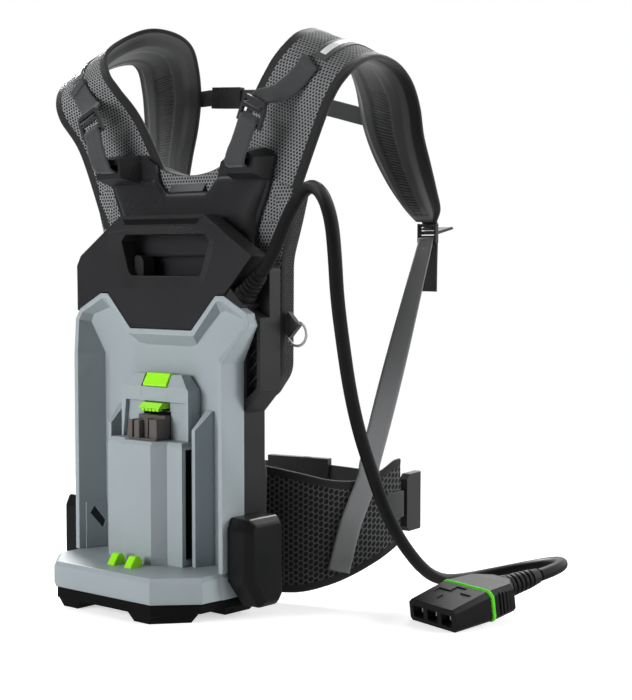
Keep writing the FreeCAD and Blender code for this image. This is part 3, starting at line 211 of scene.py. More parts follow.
def moulded_plastic(name, colour, lighter, roughness, grain_mm=0.5, grain_depth_mm=0.03, **shader):
    """Injection-moulded plastic with a spark-eroded grain: dull sheen that breaks up close to, faint cloudy wear."""
    material, tree, surface = new_material(name, roughness, **shader)
    place = object_place(tree)
    cloud = noise(tree, place, 18.0, 4.0)
    grain = noise(tree, place, 1 / (grain_mm * MM), 2.0)
    tint(tree, surface, weighed(tree, grain, 0.25, cloud, 0.75), linear(colour), linear(lighter))
    polish(tree, surface, cloud, roughness - 0.05, roughness + 0.06)
    emboss(tree, surface, grain, grain_depth_mm * MM, 0.6)
    return material


def hole_pattern(tree, place, pitch, radius):
    """1 on the net and 0 in its round holes, which sit on a triangular lattice: the nearer of two
    rectangular lattices, one shifted by half a cell each way."""
    rise = pitch * 3 ** 0.5
    nearest = None
    for shift in (0.0, 0.5):
        cells = vector_node(tree, "MULTIPLY_ADD", place, (1 / pitch, 1 / rise, 0), (shift, shift, 0)).outputs[0]
        inside = vector_node(tree, "FRACTION", cells).outputs[0]
        centred = vector_node(tree, "SUBTRACT", inside, (0.5, 0.5, 0)).outputs[0]
        real = vector_node(tree, "MULTIPLY", centred, (pitch, rise, 0)).outputs[0]
        away = vector_node(tree, "LENGTH", real).outputs["Value"]
        nearest = away if nearest is None else math_node(tree, "MINIMUM", nearest, away)
    return map_range(tree, nearest, radius * 0.8, radius * 1.15, 0.0, 1.0, interpolation_type="SMOOTHSTEP")


def spacer_mesh(name, net, hole, pitch_mm, radius_mm):
    """Polyester spacer mesh: a knitted net with round holes that show the dark foam; soft sheen on the yarn."""
    material, tree, surface = new_material(name, 0.75, Sheen_Weight=0.15, Sheen_Roughness=0.5)
    place = uv_place(tree)
    holes = hole_pattern(tree, place, pitch_mm * MM, radius_mm * MM)
    yarn = noise(tree, place, 1 / (0.6 * MM), 1.0)
    tone = weighed(tree, yarn, 0.35, noise(tree, place, 25.0, 2.0), 0.35)
    thread = mix_colours(tree, tone, linear(net[0]), linear(net[1]))
    tint(tree, surface, holes, linear(hole), thread)
    emboss(tree, surface, math_node(tree, "MULTIPLY_ADD", yarn, 0.15, holes), 0.7 * MM, 0.8)
    return material


def woven_webbing(name, colour, lighter, pitch_mm, roughness=0.62):
    """Polyester webbing in a herringbone twill: slanted ribs, drawn a little coarse so that they show."""
    material, tree, surface = new_material(name, roughness, Sheen_Weight=0.25, Sheen_Roughness=0.4)
    place = uv_place(tree)
    across, along = add(tree, "ShaderNodeSeparateXYZ", {0: place}).outputs[:2]
    fold = math_node(tree, "PINGPONG", across, 5 * MM)
    slant = math_node(tree, "MULTIPLY", math_node(tree, "ADD", fold, along), 2 * math.pi / (pitch_mm * MM))
    rib = math_node(tree, "MULTIPLY_ADD", math_node(tree, "SINE", slant), 0.5, 0.5)
    tone = weighed(tree, rib, 0.55, noise(tree, place, 1 / (0.5 * MM), 2.0), 0.45)
    tint(tree, surface, tone, linear(colour), linear(lighter))
    emboss(tree, surface, tone, 0.25 * MM, 0.7)
    return material


def foam_skin(name, colour, lighter):
    """Moulded EVA foam with a brushed jersey skin: matt, with a short soft nap."""
    material, tree, surface = new_material(name, 0.8, Sheen_Weight=0.3, Sheen_Roughness=0.6)
    place = object_place(tree)
    nap = noise(tree, place, 1 / (0.8 * MM), 3.0)
    tone = weighed(tree, nap, 0.5, noise(tree, place, 14.0, 3.0), 0.5)
    tint(tree, surface, tone, linear(colour), linear(lighter))
    emboss(tree, surface, nap, 0.12 * MM, 0.5)
    return material


def retroreflective_tape():
    """Glass-bead reflective tape: pale silver that stays bright, with a fine pressed diamond grid."""
    material, tree, surface = new_material("retroreflective_tape", 0.35, Metallic=0.15)
    grid = add(tree, "ShaderNodeTexVoronoi", {"Vector": uv_place(tree), "Scale": 1 / (1.5 * MM), "Randomness": 0.0},
               feature="F1").outputs["Distance"]
    tint(tree, surface, grid, linear("#F4F6F6"), linear("#D9DDDE"))
    emboss(tree, surface, grid, 0.05 * MM, 0.4)
    return material


def bright_metal(name, colour, roughness):
    """Polished metal with fine handling scratches that widen the highlight unevenly."""
    material, tree, surface = new_material(name, roughness, Metallic=0.7)
    scratch = noise(tree, object_place(tree), 1 / (0.8 * MM), 4.0)
    tint(tree, surface, scratch, linear(colour), linear("#FFFFFF"))
    polish(tree, surface, scratch, roughness * 0.7, roughness * 1.5)
    return material


# The dark shells: near black, with a soft sheen that shows each facet.
HOUSING = moulded_plastic("abs_housing_black", "#202021", "#272728", 0.32)
COVER = moulded_plastic("abs_cover_black", "#222223", "#28282A", 0.3)
YOKE = moulded_plastic("nylon_frame_black", "#1F1F21", "#28282A", 0.3, 0.7, 0.02)
# The dock: cool grey that goes blue in its shaded facets.
SHELL = moulded_plastic("abs_shell_grey_blue", "#8A9396", "#949DA1", 0.42)
# Depth of slots and shafts: painted shade, as good as black, on linings and sheets put where the depths lie in shadow.
SLOT_SHADE = moulded_plastic("slot_painted_shade", "#060606", "#0B0B0C", 0.6)
# Base and bumpers: the deepest black, with hardly a highlight.
BASE = moulded_plastic("abs_base_black", "#0B0B0C", "#121213", 0.42, Specular_IOR_Level=0.15)
BUMPER = moulded_plastic("tpe_bumper_black", "#0E0E0F", "#151516", 0.32, 0.9, 0.03, Specular_IOR_Level=0.4)
# Contact block: warm grey against the cool shell.
BLOCK = moulded_plastic("terminal_block_brown_grey", "#504C49", "#5D5855", 0.4)
# What the hand works: a signal colour; the plug's band is a deeper green.
LIME = moulded_plastic("abs_lime_green", "#86D512", "#97E61E", 0.4, 0.8, 0.01)
RING_GREEN = moulded_plastic("tpe_ring_green", "#3FAE0C", "#55C416", 0.38, 0.8, 0.01)
# Buckles: a shade lighter and smoother than the webbing in them.
BUCKLE = moulded_plastic("acetal_buckle_black", "#28282A", "#323234", 0.3, 0.6, 0.015)
# Plug and cable: black, the plug crisp and the rubber dull.
PLUG = moulded_plastic("nylon_plug_black", "#0C0C0D", "#141415", 0.32, 0.6, 0.02, Specular_IOR_Level=0.4)
SHEATH = moulded_plastic("rubber_sheath_black", "#0F0F10", "#161617", 0.4, 1.2, 0.015, Specular_IOR_Level=0.3)
# Circuit board, hidden in the housing: dark green laminate with a satin sheen.
LAMINATE = moulded_plastic("circuit_board_green", "#123A22", "#1D4B2D", 0.35)
# Knitted nets: the pale one on the straps, a coarse dark one on the belt, a fine one on the wearer's side.
MESH = spacer_mesh("spacer_mesh_grey", ("#626465", "#989A9B"), "#131414", 4.3, 1.45)
BELT_MESH = spacer_mesh("spacer_mesh_dark", ("#3E3F40", "#606162"), "#0F0F10", 6.6, 2.75)
PAD_MESH = spacer_mesh("air_mesh_black", ("#242526", "#333435"), "#0D0D0E", 3.6, 1.2)
# Woven tapes: edge binding, webbing, the long pull straps that catch the light (their lighter grey is painted light),
# the base of the bright tape.
BINDING = woven_webbing("binding_tape_black", "#171718", "#2A2A2B", 1.2, 0.55)
WEBBING = woven_webbing("polyester_webbing_black", "#242526", "#4A4B4C", 1.8)
# Painted light: the pull straps' webbing is drawn lighter than the rest, for the light that falls on them.
PULL_WEBBING_PAINTED_LIGHT = woven_webbing("polyester_webbing_painted_light", "#565758", "#808182", 1.8)
DARK_TAPE = woven_webbing("polyester_tape_dark", "#303132", "#4C4D4E", 1.2, 0.5)
# Foam against the wearer: matt, so that its ribs read by shadow alone.
FOAM = foam_skin("eva_foam_black", "#2B2B2C", "#3F4041")
# The bright accents: pale tape on the straps, steel on the ring, springs and screws, and warm brass contacts.
REFLECTIVE = retroreflective_tape()
STEEL = bright_metal("polished_steel", "#B9BBBC", 0.2)
BRASS = bright_metal("plated_brass", "#C89B4B", 0.25)


# Shape helpers

def unit(vectors):
    """Vectors at length one, along the last axis."""
    vectors = np.asarray(vectors, float)
    return vectors / np.linalg.norm(vectors, axis=-1, keepdims=True)


def curve_through(points, u):
    """Catmull-Rom cubic through the points at parameters u: on span i, with t from 0 to 1,
    the four neighbours are weighted by (-t+2t2-t3)/2, (2-5t2+3t3)/2, (t+4t2-3t3)/2 and (t3-t2)/2."""
    points = np.asarray(points, float)
    last = len(points) - 1
    span = np.clip(np.floor(u).astype(int), 0, last - 1)
    t = (u - span).reshape((-1,) + (1,) * (points.ndim - 1))
    near = [points[np.clip(span + k, 0, last)] for k in (-1, 0, 1, 2)]
    return 0.5 * (near[0] * (-t + 2 * t ** 2 - t ** 3) + near[1] * (2 - 5 * t ** 2 + 3 * t ** 3)
                  + near[2] * (t + 4 * t ** 2 - 3 * t ** 3) + near[3] * (t ** 3 - t ** 2))


def lengths_along(points):
    """Distance run along a row of points, from 0."""
    steps = np.linalg.norm(np.diff(points, axis=0), axis=1)
    return np.concatenate([[0], np.cumsum(steps)])


def smooth_step(low, high, x):
    """0 below low, 1 above high, and 3t2-2t3 between."""
    t = np.clip((x - low) / (high - low), 0, 1)
    return t * t * (3 - 2 * t)


def mesh_piece(name, vertices, faces, materials, face_material=None, uv=None, smooth=True):
    """A mesh object at the origin; uv is one pair per face corner, in the order of the faces."""
    mesh = bpy.data.meshes.new(name)
    mesh.from_pydata(np.asarray(vertices).tolist(), [], faces)
    for material in materials:
        mesh.materials.append(material)
    if face_material is not None:
        mesh.polygons.foreach_set("material_index", np.asarray(face_material, dtype=np.int32))
    if uv is not None:
        layer = mesh.uv_layers.new(name="UVMap")
        layer.data.foreach_set("uv", np.asarray(uv, dtype=np.float32).ravel())
    mesh.polygons.foreach_set("use_smooth", [smooth] * len(mesh.polygons))
    mesh.update()
    piece = bpy.data.objects.new(name, mesh)
    bpy.context.scene.collection.objects.link(piece)
    return piece


def ring_faces(rows, columns, hollow=False):
    """Quads between rings of points, then the two end faces; where it is hollow, the last ring joins the first."""
    r, c = np.meshgrid(np.arange(rows if hollow else rows - 1), np.arange(columns), indexing="ij")
    below, right = (r + 1) % rows, (c + 1) % columns
    quads = np.stack([r * columns + c, r * columns + right, below * columns + right, below * columns + c], -1)
    faces = quads.reshape(-1, 4).tolist()
    if not hollow:
        faces += [list(range(columns))[::-1], list(range((rows - 1) * columns, rows * columns))]
    return faces


def grid_piece(name, grid, materials, uv=None, zones=0, hollow=False):
    """A closed surface through rings of points. uv is a grid with one column more than the rings have, and
    zones gives each face its material, by column or by row and column. Its faces are turned outwards where
    its signed volume, the sum of corner triple products, is negative."""
    rows, columns = grid.shape[:2]
    index = np.broadcast_to(zones, (rows if hollow else rows - 1, columns)).ravel().tolist()
    index += [] if hollow else [index[0], index[-1]]
    corners = None
    if uv is not None:
        corners = np.stack([uv[:-1, :-1], uv[:-1, 1:], uv[1:, 1:], uv[1:, :-1]], 2).reshape(-1, 2)
        corners = np.concatenate([corners, uv[0, :columns][::-1], uv[-1, :columns]])
    piece = mesh_piece(name, grid.reshape(-1, 3), ring_faces(rows, columns, hollow), materials, index, corners)
    mesh = piece.data
    points = np.array([v.co for v in mesh.vertices])
    mesh.calc_loop_triangles()
    corners = points[np.array([t.vertices for t in mesh.loop_triangles])]
    if np.einsum("ij,ij->i", corners[:, 0], np.cross(corners[:, 1], corners[:, 2])).sum() < 0:
        mesh.flip_normals()
    return piece


def dress(piece, slot, *nodes, body="root", padded=None):
    """Rides the piece on its body and hides the nodes that it stands for; its slot is not used."""
    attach(piece, body)
    if nodes:
        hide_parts(*nodes)
    return piece


def frame_at(origin, x_axis, z_axis):
    """Origin and axes of a local frame: rows of the matrix are its X, Y and Z axes."""
    x_axis = unit(x_axis)
    z_axis = np.asarray(z_axis, float)
    z_axis = unit(z_axis - x_axis * z_axis.dot(x_axis))
    return np.asarray(origin, float) * MM, np.array([x_axis, np.cross(z_axis, x_axis), z_axis])


def placed(place, points):
    """Points of a local frame, in millimetres, as metres of the row frame."""
    origin, axes = place
    return origin + np.asarray(points, float) * MM @ axes


def mirror(points, sign):
    """Points of the right side, in millimetres, as metres on either side."""
    return np.asarray(points, float) * (sign * MM, MM, MM)


def both_sides(half):
    """A closed outline from its right half listed from the bottom up: the half, then its mirror image downwards."""
    half = np.asarray(half, float)
    return np.concatenate([half, half[::-1] * (-1, 1)])


# Padded bands: shoulder straps and hip belt

def band_rows(stations, sign, u, turn=1):
    """Both edges of a band at station parameters u, and the direction into its depth: the cross product of its
    run and its width, times turn."""
    points = mirror(stations, sign)
    last = len(stations) - 1
    edges = curve_through(points, u)
    ahead = curve_through(points, np.minimum(u + 0.05, last)) - curve_through(points, np.maximum(u - 0.05, 0))
    inward = unit(np.cross(ahead.sum(1), edges[:, 1] - edges[:, 0])) * sign * turn
    return edges[:, 0], edges[:, 1], inward


def padded_band(name, edge_a, edge_b, inward, section, materials):
    """A padded band: at each row the closed section is laid from edge_a to edge_b, with its depth inwards.
    section(width, run, total) gives each column's distance across, depth and zone in parts."""
    run = lengths_along((edge_a + edge_b) / 2)[:, None]
    parts = section(np.linalg.norm(edge_b - edge_a, axis=1)[:, None], run, run[-1, 0])
    across, depth = [np.concatenate([part[k] + 0 * run for part in parts], 1) for k in (0, 1)]
    counts = [np.shape(part[0])[-1] for part in parts]
    zone = np.repeat([part[2] for part in parts], counts)
    # the face's last column of quads reaches the far edge, so it is binding
    zone[counts[0] - 1] = 1
    grid = edge_a[:, None] + unit(edge_b - edge_a)[:, None] * across[..., None] + inward[:, None] * depth[..., None]
    u = np.concatenate([across, across[:, :1]], 1)
    return grid_piece(name, grid, materials, uv=np.stack([u, np.broadcast_to(run, u.shape)], -1), zones=zone)


def outer_face(width, border, columns):
    """The mesh face between the bound edges: 0.3 mm deep at its sides, it swells outwards by a 0.8 mm sine."""
    face = np.linspace(0, 1, columns)
    return border + face * (width - 2 * border), 0.3 * MM - 0.8 * MM * np.sin(math.pi * face), 0


def bound_edges(width, lip):
    """The half rounds of the far and the near edge, as thick as the lip; the binding stands 0.4 mm proud."""
    turn = np.linspace(0, math.pi, 9)
    out = np.sin(turn) * lip / 2
    level = lip / 2 * (1 - np.cos(turn)) - 0.4 * MM
    return (width - lip / 2 + out, level, 1), (lip / 2 - out[::-1], level[::-1], 1)


def strap_section(ribs, lip=5.5 * MM, pad=15.5 * MM):
    """Section of a shoulder strap: mesh face, half-round bound edges, and foam that stands inside the lip with
    rounded shoulders. The foam's middle panel is sunk, and between two distances run its ribs are a cosine."""
    shoulder = np.linspace(0, 1, 9)[1:]
    panel = np.linspace(0, 1, 29)[1:-1]
    sunk = smooth_step(0.2, 0.3, panel) * (1 - smooth_step(0.7, 0.8, panel))
    crown = 1.2 * MM * np.sin(math.pi * panel)

    def section(width, run, total):
        """Distance across, depth and zone of each part of the section, by width and distance run."""
        small = np.clip(width / (80 * MM), 0.3, 1)
        border, step = STRAP_BINDING * small, 9 * MM * small
        end = 1 - smooth_step(total - 26 * MM, total - 3 * MM, run)
        rise = (pad - lip) * np.sqrt(np.clip(end, 0, 1))
        flank = lip + rise * np.sin(shoulder * math.pi / 2) ** 0.8
        mask = smooth_step(ribs[0], ribs[0] + 6 * MM, run) * (1 - smooth_step(ribs[1] - 6 * MM, ribs[1], run))
        wave = 0.5 - 0.5 * np.cos(2 * math.pi * run / RIB_PITCH)
        low = border + step
        far, near = bound_edges(width, lip)
        return [outer_face(width, border, 13), far, (width - border - shoulder * step, flank, 2),
                (width - low - panel * (width - 2 * low),
                 lip + rise + (crown - 1.6 * MM * sunk - RIB_DEPTH * sunk * mask * wave) * end, 2),
                (border + shoulder[::-1] * step, flank[:, ::-1], 2), near]
    return section


def belt_section(width, run, total, lip=5 * MM, pad=15 * MM):
    """Section of a hip belt wing: mesh outer face, bound edges, and one pad inside, crowned by a sine's root."""
    border = BELT_BINDING
    crown = np.linspace(0, 1, 25)[1:-1]
    end = np.sqrt(np.clip(1 - smooth_step(total - 24 * MM, total - 2 * MM, run), 0, 1))
    rise = (pad - lip) * np.sin(math.pi * crown) ** 0.35 * end
    far, near = bound_edges(width, lip)
    return [outer_face(width, border, 15), far, (width - border - crown * (width - 2 * border), lip + rise, 2), near]


def shoulder_straps():
    """The padded straps, each with its mesh face, bound edge and foam; rows lie closer where the ribs are."""
    for name, sign, stations in SIDES:
        last = len(stations) - 1
        coarse = np.linspace(0, last, 141)
        coarse = coarse[(coarse < RIB_SPAN[0]) | (coarse > RIB_SPAN[1])]
        u = np.unique(np.concatenate([coarse, np.linspace(*RIB_SPAN, 460)]))
        even = np.linspace(0, last, 400)
        ribs = np.interp(RIB_SPAN, even, lengths_along(curve_through(mirror(stations, sign), even).mean(1)))
        strap = padded_band(f"strap_{name}_padded", *band_rows(stations, sign, u), strap_section(ribs),
                            [MESH, BINDING, FOAM])
        dress(strap, "strap_mesh", f"shoulder_strap_{name}", padded=0.7)


def hip_belt():
    """The two padded wings of the hip belt, from the middle to their tips."""
    stations = [((x, y, low), (x, y, high)) for x, y, low, high in BELT_STATIONS]
    for name, sign, _ in SIDES:
        rows = band_rows(stations, sign, np.linspace(0, len(stations) - 1, 120), -1)
        wing = padded_band(f"belt_wing_{name}_padded", *rows, belt_section, [BELT_MESH, BINDING, FOAM])
        dress(wing, "pad_mesh", f"belt_wing_{name}", padded=0.6)


# Webbing

def webbing(name, points, wide, width, thick=2.2 * MM, material=WEBBING, rows=90):
    """A webbing band: a flat section with rounded edges, carried along a smooth curve through the points;
    wide is the direction of its width, at each point or at all."""
    points = np.asarray(points, float)
    u = np.linspace(0, len(points) - 1, rows)
    centre = curve_through(points, u)
    across = curve_through(np.broadcast_to(np.asarray(wide, float), points.shape), u)
    along = unit(np.gradient(centre, axis=0))
    across = unit(across - along * (across * along).sum(1, keepdims=True))
    lift = np.cross(along, across)
    side = np.linspace(-1, 1, 9) * (width / 2 - thick * 0.35)
    x = np.insert(np.concatenate([side, -side]), [9, 18], [width / 2, -width / 2])
    bulge = np.insert(np.repeat([thick / 2, -thick / 2], 9), [9, 18], [0, 0])
    grid = centre[:, None] + across[:, None] * x[None, :, None] + lift[:, None] * bulge[None, :, None]
    uv = np.stack(np.broadcast_arrays(np.append(x, x[0])[None], lengths_along(centre)[:, None]), -1)
    return grid_piece(name, grid, [material], uv=uv)


def joined(name, pieces):
    """Several pieces as one mesh object."""
    with bpy.context.temp_override(active_object=pieces[0], selected_editable_objects=pieces):
        bpy.ops.object.join()
    pieces[0].name = name
    return pieces[0]


def load_lifters():
    """Webbing of the load lifters, from the slots of the plate through the ladder locks to the straps."""
    side = np.array([1.0, 0, 0])
    through_plate = [(102.5, 30, 485.3), (102.5, 16, 485.3), (102.5, 4, 485.3), (103.5, -2.4, 488), (108, -5, 498),
                     (114, -4.6, 510)]
    to_strap = [(150, 18.5, 562), (167, 24.8, 574.5), (184, 28.9, 592.5)]
    for name, sign, _ in SIDES:
        lock = frame_at((sign * 127, 0, 541), (0.91, 0, -0.42 * sign), (0.42 * sign, -0.035, 0.91))
        across = lock[1][0]
        lower = np.concatenate([mirror(through_plate, sign),
                                placed(lock, [(0, -3.6, -16), (0, -3.6, -8.5), (0, 1.8, -3.6)])])
        wide = [side] * 5 + [unit(side + across)] + [across] * 3
        band = webbing(f"lifter_webbing_lower_{name}_woven", lower, wide, LIFTER_WIDTH)
        dress(band, "webbing_black", f"lifter_webbing_lower_{name}")
        upper = np.concatenate([placed(lock, [(0, -3.2, 6.9), (0, 3.4, 9), (0, 8, 17.5)]), mirror(to_strap, sign)])
        tilt = unit((0.62 * sign, -0.04, -0.5))
        wide = [across * sign] * 3 + [unit(across * sign + tilt)] + [tilt] * 2
        band = webbing(f"lifter_webbing_upper_{name}_woven", upper, wide, LIFTER_WIDTH)
        hem = webbing(f"lifter_hem_{name}", mirror([(177.5, 26.2, 585.5), (184.6, 27.7, 593.1)], sign), tilt,
                      LIFTER_WIDTH + 0.4 * MM, 1.8 * MM, rows=6)
        band = joined(f"lifter_webbing_upper_{name}_woven", [band, hem])
        dress(band, "webbing_black", f"lifter_webbing_upper_{name}")


def reflective_tapes():
    """Dark tape over the crest of each strap with a bright reflective strip sewn on its middle."""
    for name, sign, stations in SIDES:
        neck, outer, inward = band_rows(stations, sign, np.linspace(3.3, 8, 60))
        middle = neck + (outer - neck) * 0.55 - inward * 1.1 * MM
        wide = unit(outer - neck)
        tape = webbing(f"tape_base_{name}", middle, wide, TAPE_WIDTH, 0.8 * MM, DARK_TAPE, 160)
        strip = webbing(f"tape_strip_{name}", (middle - inward * 0.7 * MM)[3:-3], wide[3:-3], STRIP_WIDTH, 0.5 * MM,
                        REFLECTIVE, 150)
        dress(joined(f"reflective_tape_{name}_sewn", [tape, strip]), "reflective", f"reflective_tape_{name}")


def pull_webbing():
    """End loop of each strap, tail and pull strap through its ladder lock."""
    landing = [(179.6, 136.3, 157), (178.7, 133.2, 140), (167.8, 116.1, 88), (158.6, 107, 36)]
    on_belt = np.array([(0.52, 0.85, 0), (0.52, 0.85, 0), (0.62, 0.78, 0), (0.673, 0.74, 0)])
    share = np.array([0.2, 0.4, 0.6, 0.8])[:, None]
    for name, sign, stations in SIDES:
        last = len(stations) - 1
        neck, outer, inward = band_rows(stations, sign, np.array([last - 1.0, last]))
        end = (neck[1] + outer[1]) / 2
        above = (neck[0] + outer[0]) / 2 - inward[0] * 1.6 * MM
        lock = (end + mirror((2, -2.5, -14), sign), frame_at((0, 0, 0), (0.974, -0.225 * sign, 0), (0, 0, 1))[1])
        across = lock[1][0]
        loop = np.concatenate([[above, end - inward[1] * 2 * MM],
                               placed(lock, [(0, 4.7, 9), (0, 3.6, 5.2), (0, -0.5, 2.9)])])
        loop = webbing(f"loop_{name}", loop, [*(unit(outer - neck) * sign), across, across, across], LOOP_WIDTH)
        tail = placed(lock, [(0, 1, -4.6), (0, 3.9, -8.5), (0, 4.1, -14), (0, 3.4, -40), (0, 3, -68)])
        tail = webbing(f"tail_{name}", tail, across, PULL_WIDTH)
        top = placed(lock, [(0, -0.5, -6.5), (0, -3.6, -8.6), (0, -3.8, -12.5)])
        ends = mirror(landing, sign)
        belt_wide = on_belt * (1, sign, 1)
        points = np.concatenate([top, top[-1] + (ends[0] - top[-1]) * share, ends])
        wide = np.concatenate([[across] * 3, across * (1 - share) + belt_wide[0] * share, belt_wide])
        # the pull strap takes the lighter webbing, which is painted light
        pull = webbing(f"pull_{name}", points, wide, PULL_WIDTH, material=PULL_WEBBING_PAINTED_LIGHT, rows=160)
        dress(joined(f"pull_webbing_{name}_woven", [loop, tail, pull]), "webbing_black", f"pull_webbing_{name}")


def buckle_webbing(piece, node):
    """Webbing that stretches from the harness to the moving half of a buckle."""
    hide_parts(node)
    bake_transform(piece)


def sternum_strap():
    """Sternum webbing on both sides of its buckle."""
    buckle = frame_at((-92, 182.3, 584), (1, 0.03, -0.06), (0, 0, 1))
    left = np.concatenate([mirror([(-138, 180.8, 584.5), (-122, 181.9, 584.6)], 1),
                           placed(buckle, [(-16, 0, 0), (-7.4, 0, 0)])])
    band = webbing("sternum_webbing_left_woven", left, (0, 0, 1), STERNUM_WIDTH, rows=40)
    buckle_webbing(band, "sternum_webbing_left")
    right = np.concatenate([placed(buckle, [(30.4, 0, 0)]),
                            mirror([(-20, 186, 579), (60, 189, 566), (125, 191.8, 549.5), (142, 191.2, 547)], 1)])
    band = webbing("sternum_webbing_right_woven", right, (0, 0, 1), STERNUM_WIDTH)
    dress(band, "webbing_black", "sternum_webbing_right")


def belt_webbing():
    """Hip belt webbing round the front, one piece each side of the buckle."""
    buckle = frame_at((-53.5, 286.5, BELT_LEVEL), (0.984, 0.18, 0), (0, 0, 1))
    wing_tip = [(187.6, 157.3, BELT_LEVEL), (191.2, 168.2, BELT_LEVEL), (192.8, 180, BELT_LEVEL)]

    def on_ellipse(degrees, sign):
        """Points of the ellipse about the wearer, by angle from the wearer's side."""
        turn = np.radians(degrees)
        return np.stack([sign * BELT_REACH[0] * np.cos(turn), BELT_MIDDLE + BELT_REACH[1] * np.sin(turn),
                         BELT_LEVEL + 0 * turn], -1)

    for name, sign, _ in SIDES:
        adjuster = frame_at(on_ellipse(13.5, sign), (-0.13 * sign, 1, 0), (0, 0, 1))
        front = on_ellipse([30, 45] if name == "left" else [30, 45, 60, 76], sign) * MM
        points = np.concatenate([mirror(wing_tip, sign), placed(adjuster, [(-19, 0, 0), (19, 0, 0)]), front,
                                 placed(buckle, [(sign * 49, 0, 0), (sign * 40.6, 0, 0)])])
        band = webbing(f"belt_webbing_{name}_woven", points, (0, 0, 1), BELT_WIDTH, rows=140)
        if name == "right":
            dress(band, "webbing_black", "belt_webbing_right")
        else:
            buckle_webbing(band, "belt_webbing_left")


# Pads

def smooth_outline(points, reach, count=240):
    """A closed outline sampled evenly, its corners rounded by a running mean over the reach."""
    closed = np.concatenate([points, points[:1]])
    run = lengths_along(closed)
    at = np.linspace(0, run[-1], count, endpoint=False)
    even = np.stack([np.interp(at, run, closed[:, k]) for k in range(2)], 1)
    half = max(1, int(reach / run[-1] * count / 2))
    return np.mean([np.roll(even, k, 0) for k in range(-half, half + 1)], 0)


def inset(outline, amount):
    """The outline moved inwards along its normals by the amount."""
    ahead = np.roll(outline, -1, 0) - np.roll(outline, 1, 0)
    normal = unit(np.stack([-ahead[:, 1], ahead[:, 0]], 1))
    area = np.sum(outline[:, 0] * np.roll(outline[:, 1], -1) - np.roll(outline[:, 0], -1) * outline[:, 1])
    return outline + normal * amount * (1 if area > 0 else -1)


def cushion(name, outline, materials, front, back, crown, round_edge):
    """A pad on the XZ plane: rings inset from the outline, flat in front, rounded at the sides, crowned behind.
    Its three materials are the front, the binding and the rest."""
    outline = smooth_outline(both_sides(outline), 20)
    turn = np.linspace(0, math.pi / 2, 7)
    rings = [(6, front), (1.2, front + 0.2), (0, front + 1.6), (0, front + (back - front) * 0.35)]
    rings += [(round_edge * (1 - math.cos(t)), back - round_edge + round_edge * math.sin(t)) for t in turn]
    grid = []
    for amount, level in rings:
        ring = inset(outline, amount)
        grid.append(np.stack([ring[:, 0], np.full(len(ring), level), ring[:, 1]], 1))
    # the back closes with copies of its last ring drawn in to the middle, so no wide face is left to crease
    middle = grid[-1].mean(0)
    rise = np.array([0, crown, 0])
    grid += [middle + (grid[-1] - middle) * share + rise * (1 - share ** 8)
             for share in (0.97, 0.92, 0.85, 0.7, 0.4, 0.1)]
    grid = np.array(grid) * MM
    # the pattern runs on round the sides by their depth
    flat = np.concatenate([grid, grid[:, :1]], 1)[..., [0, 2]]
    flat[2:-7] += (grid[2:-7, :1, 1:2] - grid[2, 0, 1]) * (1, 0)
    return grid_piece(name, grid, materials, uv=flat, zones=np.repeat([0, 1, 2], [1, 2, len(grid) - 4])[:, None])


def back_pads():
    """Back pad with its mesh neckline and bound top edge, and the lumbar pad."""
    outline = [(112, 232), (136, 262), (137, 385), (150, 425), (160, 460.6), (58, 493.6), (34, 484), (12, 480)]
    pad = cushion("back_pad_padded", outline, [MESH, BINDING, PAD_MESH], front=35, back=60, crown=2, round_edge=6.5)
    dress(pad, "pad_mesh", "back_pad", padded=0.6)
    outline = [(70, 8), (92, 20), (96, 150), (80, 200), (60, 214)]
    pad = cushion("lumbar_pad_padded", outline, [PAD_MESH, BINDING, PAD_MESH], front=30, back=64, crown=2,
                  round_edge=11)
    dress(pad, "pad_mesh", "lumbar_pad", padded=0.6)


# Turned pieces, cable and ring

def turned(name, base, axis, profile, material, around=48):
    """A turned piece: the profile's distance and radius in millimetres, carried round the axis."""
    spoke = unit(np.cross(axis, (0, 1, 0)))
    angle = np.linspace(0, 2 * math.pi, around, endpoint=False)
    arms = np.cos(angle)[:, None] * spoke + np.sin(angle)[:, None] * np.cross(axis, spoke)
    profile = np.concatenate(profile) * MM
    grid = base + axis * profile[:, :1, None] + arms[None] * profile[:, 1:, None]
    turn = np.append(angle, 2 * math.pi)[None] * profile[:, 1:]
    uv = np.stack(np.broadcast_arrays(turn, lengths_along(profile)[:, None]), -1)
    return grid_piece(name, grid, [material], uv=uv)


def ringed(start, end, first, last, rings, depth):
    """Profile of a cone with soft rings: radius falls evenly from first to last, less the depth in each groove."""
    s = np.linspace(0, 1, rings * 16 + 1)
    phase = (s * rings) % 1
    groove = smooth_step(0.55, 0.68, phase) * (1 - smooth_step(0.87, 1.0, phase))
    return np.stack([start + (end - start) * s, first + (last - first) * s - depth * groove], 1)


def rounded_rim(radius, edge=0.8):
    """Start of a profile: up the end face and round a small edge to the radius."""
    t = np.linspace(0, math.pi / 2, 5)
    corner = np.stack([edge * (1 - np.cos(t)), radius - edge + edge * np.sin(t)], 1)
    return np.concatenate([[(0, radius - 1)], corner])


